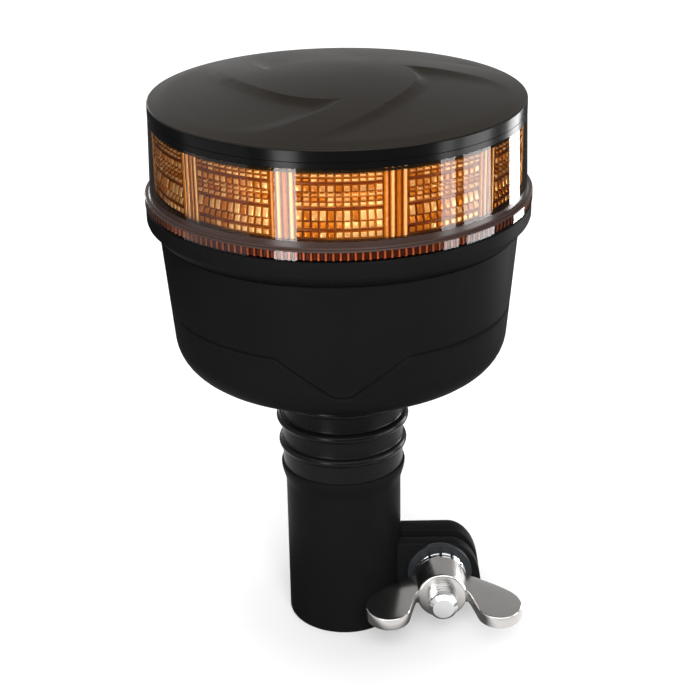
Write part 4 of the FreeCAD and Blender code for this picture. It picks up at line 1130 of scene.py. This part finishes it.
class BeaconClamp(bpy.types.Operator):
    """Bolt, washer, lock ring and wing nut of the clamp"""

    bl_idname = "beacon.clamp"
    bl_label = "Clamp"

    steps = 96
    head_steps, edge_steps, boss_steps, bead_steps = 12, 6, 5, 12
    teeth = 14
    tooth_steps, notch_steps = 12, 2
    # Outline of a wing: millimetres from the axis and from the seat
    wing_line = ((8.6, 0.2), (14.4, 4.0), (20.2, 8.6), (24.6, 13.2), (26.4, 17.5), (26.5, 21.2), (25.0, 25.0),
                 (22.0, 27.7), (18.6, 28.5), (15.0, 27.4), (12.2, 24.2), (10.7, 18.5), (9.2, 12.8),
                 (7.6, 9.8))
    wing_steps = 6
    wing_smooth = math.radians(20)
    # One turn of the thread: share of the pitch and share of the height
    thread_shape = ((0.0, 1.0), (0.25, 0.0), (0.4, 0.0), (0.6, 1.0))

    def execute(self, context):
        sizes = context.scene.beacon_clamp
        self.bolt(sizes)
        self.washer(sizes)
        self.lock_ring(sizes)
        self.wing_nut(sizes)
        return {"FINISHED"}

    def bolt(self, sizes):
        """Threaded bolt with a round head behind the ears."""
        reach, back = -low("clamp_bolt").y, -sizes.ear_back
        major, minor = sizes.thread_major, sizes.thread_minor
        pitch, bevel = sizes.thread_pitch, sizes.thread_bevel
        profile = [(sizes.head_radius * x, back - sizes.head_height * y)
                   for x, y in arc((0, 0), 1, 90, 0, self.head_steps)]
        profile[0] = (0, back - sizes.head_height)
        profile.append((major, back))
        spot = sizes.thread_start
        while spot < reach - bevel - pitch:
            for share, rise in self.thread_shape:
                profile.append((minor + (major - minor) * rise, spot + share * pitch))
            spot += pitch
        profile += [(major, spot), (major, reach - bevel), (major - bevel, reach), (0, reach)]
        piece = turned_on_bolt("threaded_bolt", profile, self.steps)
        complete(piece, "steel", "socket", "bright_steel", "clamp_bolt")

    def washer(self, sizes):
        """Plain washer with rounded edges."""
        box_low, box_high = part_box("disc_washer")
        edge = sizes.washer_edge
        centre = (box_high.x - box_low.x) / 2 - edge
        back, front, hole = -box_high.y, -box_low.y, sizes.hole_radius
        piece = turned_on_bolt("round_washer", [
            (hole, back), *arc((centre, back + edge), edge, -90, 0, self.edge_steps),
            *arc((centre, front - edge), edge, 0, 90, self.edge_steps), (hole, front), (hole, back),
        ], self.steps)
        complete(piece, "washer", "socket", "dark_washer", "disc_washer")

    def lock_ring(self, sizes):
        """Lock ring of two rounded beads, cut into teeth."""
        box_low, box_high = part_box("tooth_ring")
        back, front, hole = -box_high.y, -box_low.y, sizes.hole_radius
        bead = sizes.bead_height
        root = (box_high.x - box_low.x) / 2 - bead
        half = (front - back) / 4
        beads = [(root + bead * x, level + half * y) for level in (back + half, front - half)
                 for x, y in arc((0, 0), 1, -90, 90, self.bead_steps)]
        steps = self.teeth * self.tooth_steps
        piece = turned_on_bolt("lock_ring", [(hole, back), *beads, (hole, front), (hole, back)], steps)
        axis = middle("tooth_ring")
        for point in piece.data.vertices:
            across, rise = point.co.x - axis.x, point.co.z - axis.z
            reach = math.hypot(across, rise)
            number = round(math.atan2(across, rise) / FULL_TURN * steps) % self.tooth_steps
            if reach > root - bead and number < self.notch_steps:
                point.co.x -= across / reach * sizes.tooth_depth
                point.co.z -= rise / reach * sizes.tooth_depth
        complete(piece, "ring", "nut_carrier", "chrome", "tooth_ring")

    def wing_nut(self, sizes):
        """Wing nut: a tapered boss and two flat wings with rounded rims."""
        seat = -high("wing_nut").y
        front, edge, bore = seat + sizes.boss_height, sizes.boss_round, sizes.thread_major
        shoulder = arc((sizes.boss_top - edge, front - edge), edge, 0, 90, self.boss_steps)
        profile = [(bore, seat), (sizes.boss_base, seat), *shoulder, (bore, front), (bore, seat)]
        piece = turned_on_bolt("winged_nut", profile, self.steps)
        for side in (1, -1):
            combine(piece, self.wing(sizes, seat, side), "UNION")
        complete(piece, "chrome", "wing_nut", "chrome", "wing_nut", self.wing_smooth)

    def wing(self, sizes, seat, side):
        """One wing on a smooth curve through the points of its outline."""
        axis = middle("wing_nut")
        spots = np.array(self.wing_line) * MM
        padded = np.vstack([2 * spots[0] - spots[1], spots, 2 * spots[-1] - spots[-2]])
        curve = []
        for before, start, end, after in zip(padded, padded[1:], padded[2:], padded[3:]):
            bend = 2 * before - 5 * start + 4 * end - after
            twist = 3 * start - before - 3 * end + after
            for share in np.linspace(0, 1, self.wing_steps, endpoint=False):
                shift = (end - before) * share + bend * share ** 2 + twist * share ** 3
                curve.append(start + shift / 2)
        outline = [(sizes.wing_root, spots[0][1]), *curve, spots[-1], (sizes.wing_root, spots[-1][1])]
        bottom = axis.z - sizes.wing_thickness / 2
        points = [(axis.x + side * across, -seat - along, bottom) for across, along in outline]
        piece = slab("wing", points, (0, 0, sizes.wing_thickness))
        soften(piece, sizes.wing_edge)
        return piece


class BeaconSpring(bpy.types.Operator):
    """Spring of the centre contact, copied from the CAD spring"""

    bl_idname = "beacon.spring"
    bl_label = "Contact spring"

    def execute(self, context):
        piece = duplicate(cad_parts["contact_spring"], "pressed_spring")
        for key in list(piece.keys()):
            del piece[key]
        piece.parent = None
        close_up(piece)
        smooth(piece)
        paint(piece, "steel")
        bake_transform(piece)
        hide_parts("contact_spring")
        return {"FINISHED"}


class BeaconInside(bpy.types.Operator):
    """Finishes of the inner nodes that keep their CAD shape"""

    bl_idname = "beacon.inside"
    bl_label = "Inner parts"

    finishes = {
        "insulator": ("contact_block", "contact_lid"),
        "brass": ("ring_contact", "centre_contact"),
        "steel": ("neck_ring", "neck_screws", "tie_screws", "board_screws"),
        "board": ("driver_board", "led_strip"),
        "component": ("capacitors", "inductor", "regulator"),
        "rubber": ("lens_gasket", "cap_seal"),
        "aluminium": ("led_carrier",),
        "emitter": ("led_emitters",),
    }

    def execute(self, context):
        for finish, nodes in self.finishes.items():
            for node in nodes:
                paint(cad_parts[node], finish)
        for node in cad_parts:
            if node.startswith("optic_"):
                paint(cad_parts[node], "optic")
        return {"FINISHED"}


class BeaconStageSet(bpy.types.Operator):
    """Floor, lights, backdrop and camera"""

    bl_idname = "beacon.stage"
    bl_label = "Stage"

    # Backdrop as mirrors see it: where its levels change, and the levels
    back_spots, near_spots, over_spots = (-0.2, 0.4), (0.35, 0.7), (0.3, 0.55)
    back_level, over_level, least_level, fill_level = 0.9, 0.9, 0.08, 0.5
    floor_size, floor_drop, floor_grey = 8.0, 0.05 * MM, (0.5, 0.5, 0.5)
    # Floor: distances at which its levels change, for the camera first and then for mirrors. The camera's
    # glow is lower near the object, a painted shadow; mirrors see a painted pool of light near the object,
    # darkest right under it as a painted shadow
    glow_spots, glow_levels = (0.03, 0.14), (0.36, 0.74)
    far_spots, far_levels = (0.1, 0.3), (1.2, 0.06)
    under_spots, under_levels = (0.05, 0.075), (0.1, 1.0)
    card_size, card_place, card_level = (4.0, 1.3, 1.0), (0, 0.9, 0.95), 0.4
    # Soft boxes: name, place, height aimed at, size, watts and the rays that don't see it
    boxes = (
        ("top_box", (-0.15, 0.3, 1.25), 0.1, (1.0, 1.0), 7.0, "glossy"),
        ("edge_box", (0, -0.7, 0.8), 0.1, (2.0, 0.9), 9.0, "diffuse"),
        ("fill_box", (0.04, -0.75, 0.6), 0.15, (0.5, 0.5), 10.5, "glossy"),
        ("shoulder_box", (-0.62, 1.4, 0.44), 0.18, (0.45, 0.5), 6.0, "diffuse"),
    )
    # Upright strips of light: name, first and last angle round the object, and level
    strips = (
        ("haze_box", -95, -48, 0.04), ("left_box", -34, -22, 0.7), ("right_box", 56, 65.5, 0.5),
        ("side_box", 71, 93, 0.5), ("back_box", 113, 129, 0.6),
    )
    strip_distance, strip_level, strip_height, strip_radiance = 0.3, 0.085, 0.16, 18.0
    sensor_width = 36.0

    def execute(self, context):
        self.backdrop(context.scene)
        self.floor()
        self.card()
        self.lamps()
        self.camera(context.scene)
        context.scene.view_settings.view_transform = "Standard"
        return {"FINISHED"}

    def backdrop(self, scene):
        """White world for the camera; mirrors see it bright behind and darker in front and above."""
        scene.world = bpy.data.worlds.new("studio")
        finish = Finish(scene.world)
        way = finish.node("TexCoord", output="Generated")
        back = finish.node("SeparateXYZ", {0: way}, output="Y")
        rise = finish.node("SeparateXYZ", {0: way}, output="Z")
        back = finish.spread(back, self.back_spots, (0.0, 1.0))
        near = finish.spread(rise, self.near_spots, (1.0, 0.0))
        over = finish.spread(rise, self.over_spots, (0.0, self.over_level))
        mirrored = back * near * self.back_level + (1.0 - back) * over + self.least_level
        camera, glossy = finish.ray("Camera"), finish.ray("Glossy")
        strength = camera + glossy * mirrored + (1.0 - camera - glossy) * self.fill_level
        light = finish.node("Background", {"Color": WHITE, "Strength": strength})
        finish.node("OutputWorld", {"Surface": light})

    def plane(self, name, size, place=(0, 0, 0), lean=0.0, scale=(1, 1, 1)):
        """A plane of the stage and its finish, which is still to be put together."""
        clear_selection()
        bpy.ops.mesh.primitive_plane_add(size=size)
        plane = bpy.context.object
        plane.name = name
        plane.location, plane.rotation_euler.x, plane.scale = place, lean, scale
        bpy.ops.object.transform_apply(location=True, rotation=True, scale=True)
        plane.data.materials.append(bpy.data.materials.new(name))
        return plane, Finish(plane.data.materials[0])

    def floor(self):
        """Large pale floor that keeps the shadow and fades into the backdrop, with a painted shadow where its
        glow is lower near the object; mirrors see it darker, with a painted pool of light near the object and
        a painted shadow right under it.
        """
        floor, finish = self.plane("studio_floor", self.floor_size, (0, 0, -self.floor_drop))
        matt = finish.node("BsdfDiffuse", {"Color": opaque(self.floor_grey)})
        place = finish.node("TexCoord", output="Object")
        far = finish.node("VectorMath", {0: place}, "Value", operation="LENGTH")
        # The camera's glow is lower near the object: a painted shadow around it
        glow = finish.glow(finish.ray("Camera") * finish.spread(far, self.glow_spots, self.glow_levels))
        seen = finish.node("AddShader", {0: matt, 1: glow})
        # Mirrors see a painted pool of light near the object that fades far away, with a painted shadow right
        # under it
        level = finish.spread(far, self.far_spots, self.far_levels)
        mirrored = finish.glow(level * finish.spread(far, self.under_spots, self.under_levels))
        finish.close(finish.node("MixShader", {0: finish.ray("Glossy"), 1: seen, 2: mirrored}))

    def card(self):
        """Grey card behind the object, which only mirrors see."""
        card, finish = self.plane("grey_card", 1.0, self.card_place, math.pi / 2, self.card_size)
        finish.close(finish.glow(self.card_level))
        card.visible_camera = False
        card.visible_diffuse = False
        card.visible_shadow = False

    def lamp(self, name, place, target, size, power, unseen):
        """One rectangular soft box aimed at a height on the axis, which one kind of ray doesn't see."""
        data = bpy.data.lights.new(name, "AREA")
        data.shape = "RECTANGLE"
        data.size, data.size_y = size
        data.energy = power
        lamp = bpy.data.objects.new(name, data)
        bpy.context.scene.collection.objects.link(lamp)
        lamp.location = place
        aim = Vector((0, 0, target)) - Vector(place)
        lamp.rotation_euler = aim.to_track_quat("-Z", "Y").to_euler()
        lamp.visible_camera = False
        setattr(lamp, f"visible_{unseen}", False)

    def lamps(self):
        """Large boxes round the object, and narrow upright ones that gloss picks up."""
        for box in self.boxes:
            self.lamp(*box)
        distance, tall = self.strip_distance, self.strip_height
        for name, start, end, level in self.strips:
            wide = distance * math.radians(end - start)
            angle = math.radians((start + end) / 2)
            place = (distance * math.sin(angle), -distance * math.cos(angle), self.strip_level)
            power = self.strip_radiance * level * math.pi * wide * tall
            self.lamp(name, place, self.strip_level, (wide, tall), power, "diffuse")

    def camera(self, scene):
        """Camera at the photograph's angle."""
        stage = scene.beacon_stage
        pitch, yaw, roll = stage.pitch, stage.yaw, stage.roll
        ahead = Vector((math.sin(yaw) * math.cos(pitch), math.cos(yaw) * math.cos(pitch), -math.sin(pitch)))
        right = Vector((math.cos(yaw), -math.sin(yaw), 0))
        up = right.cross(ahead)
        across = right * math.cos(roll) + up * math.sin(roll)
        upward = up * math.cos(roll) - right * math.sin(roll)
        data = bpy.data.cameras.new("photo_camera")
        data.lens = stage.lens
        data.sensor_width = self.sensor_width
        camera = bpy.data.objects.new("photo_camera", data)
        scene.collection.objects.link(camera)
        turned_to = Matrix((across, upward, -ahead)).transposed().to_4x4()
        camera.matrix_world = Matrix.Translation((0, -stage.distance, stage.height)) @ turned_to
        scene.camera = camera


class BeaconPanel(bpy.types.Panel):
    """Lists the beacon's pieces in the sidebar"""

    bl_idname = "VIEW3D_PT_beacon"
    bl_label = "LED beacon"
    bl_space_type = "VIEW_3D"
    bl_region_type = "UI"
    bl_category = "Beacon"

    def draw(self, context):
        for operator in OPERATORS:
            self.layout.operator(operator.bl_idname)
        for group in GROUPS:
            box = self.layout.box()
            settings = getattr(context.scene, group)
            for name in settings.__annotations__:
                box.prop(settings, name)


GROUPS = {
    "beacon_head": BeaconHeadSizes, "beacon_neck": BeaconNeckSizes, "beacon_clamp": BeaconClampSizes,
    "beacon_colours": BeaconColours, "beacon_stage": BeaconStage,
}
OPERATORS = (BeaconCap, BeaconLens, BeaconPrisms, BeaconDrum, BeaconNeck, BeaconSocket, BeaconClamp,
             BeaconSpring, BeaconInside, BeaconStageSet)
FINISHES = {}


def mix_finishes(colours):
    """All finishes by name; moulded ones have roughness, gloss, and the scale and depth of their grain."""
    bright, mid, dark = colours.prism, colours.prism_mid, colours.prism_dark
    teeth, core = colours.teeth, colours.teeth_dark
    FINISHES.update({
        "cap": moulded("satin_black", colours.cap, 0.36, 0.128, 2600.0, 0.00003),
        "rim": moulded("gloss_black", shade(colours.black, 0.5), 0.2, 0.1, 1200.0, 0.00001),
        "drum": moulded("moulded_black", colours.black, 0.5, 0.01, 2200.0, 0.00004),
        "socket": moulded("socket_black", colours.black, 0.42, 0.015, 2200.0, 0.00003),
        "rubber": moulded("neck_rubber", colours.rubber, 0.27, 0.1, 1500.0, 0.00003),
        "lens_skin": lens_skin("amber_skin", colours.amber),
        "lens_wall": lens_wall("amber_wall", colours.amber),
        "flange": lens_skin("amber_flange", colours.flange),
        "foot": moulded("lens_foot", colours.foot, 0.2, 0.18, 1800.0, 0.00002),
        "teeth": prism("tooth_edge", [(0.0, shade(teeth, 0.5)), (0.3, teeth)], 0.3, 0.0),
        "teeth_dark": prism("tooth_flank", [(0.0, core), (0.3, shade(core, 1.5))], 0.3, 0.0),
        # Crowns carry a painted highlight, slopes and grooves painted shade
        "prism": prism("prism_face", [(0.0, shade(mid, 0.8)), (0.35, mid), (0.62, bright)], 0.18, 0.35),
        "prism_slope": prism("prism_side", [(0.15, dark), (0.95, mid)], 0.2, 0.1),
        "prism_shade": prism("prism_groove", [(0.0, dark), (1.0, shade(dark, 1.6))], 0.3, 0.1),
        "rib": prism("rib_plastic", [(0.25, shade(mid, 0.6)), (0.6, mid), (0.95, bright)], 0.15, 0.1),
        "chrome": metal("bright_chrome", colours.chrome, 0.2),
        "ring": metal("ring_steel", colours.steel, 0.15),
        "steel": metal("bright_steel", colours.steel, 0.22, (1, 6, 1)),
        "washer": moulded("dark_disc", colours.washer, 0.35, 0.2, 2600.0, 0.00003),
        "brass": metal("contact_brass", (0.8, 0.6, 0.25), 0.25),
        "aluminium": metal("carrier_aluminium", (0.75, 0.76, 0.77), 0.3),
        "insulator": moulded("contact_insulator", (0.62, 0.6, 0.55), 0.45, 0.4, 1800.0, 0.00003),
        "board": moulded("circuit_lacquer", (0.04, 0.22, 0.1), 0.3, 0.5, 1800.0, 0.00002),
        "component": moulded("component_black", (0.05, 0.05, 0.055), 0.4, 0.4, 1800.0, 0.00003),
        "optic": moulded("optic_block", (0.92, 0.92, 0.92), 0.15, 0.5, 1800.0, 0.00002),
        "emitter": moulded("emitter_gel", (0.95, 0.8, 0.3), 0.3, 0.5, 1800.0, 0.00002),
    })


def register():
    for group, kind in GROUPS.items():
        bpy.utils.register_class(kind)
        setattr(bpy.types.Scene, group, PointerProperty(type=kind))
    for kind in (*OPERATORS, BeaconPanel):
        bpy.utils.register_class(kind)


def unregister():
    for kind in (BeaconPanel, *reversed(OPERATORS)):
        bpy.utils.unregister_class(kind)
    for group, kind in reversed(GROUPS.items()):
        delattr(bpy.types.Scene, group)
        bpy.utils.unregister_class(kind)


def main():
    """Build every piece and the stage."""
    register()
    mix_finishes(bpy.context.scene.beacon_colours)
    bpy.ops.beacon.cap()
    bpy.ops.beacon.lens()
    bpy.ops.beacon.prisms()
    bpy.ops.beacon.drum()
    bpy.ops.beacon.neck()
    bpy.ops.beacon.socket()
    bpy.ops.beacon.clamp()
    bpy.ops.beacon.spring()
    bpy.ops.beacon.inside()
    bpy.ops.beacon.stage()


if __name__ == "__main__":
    main()
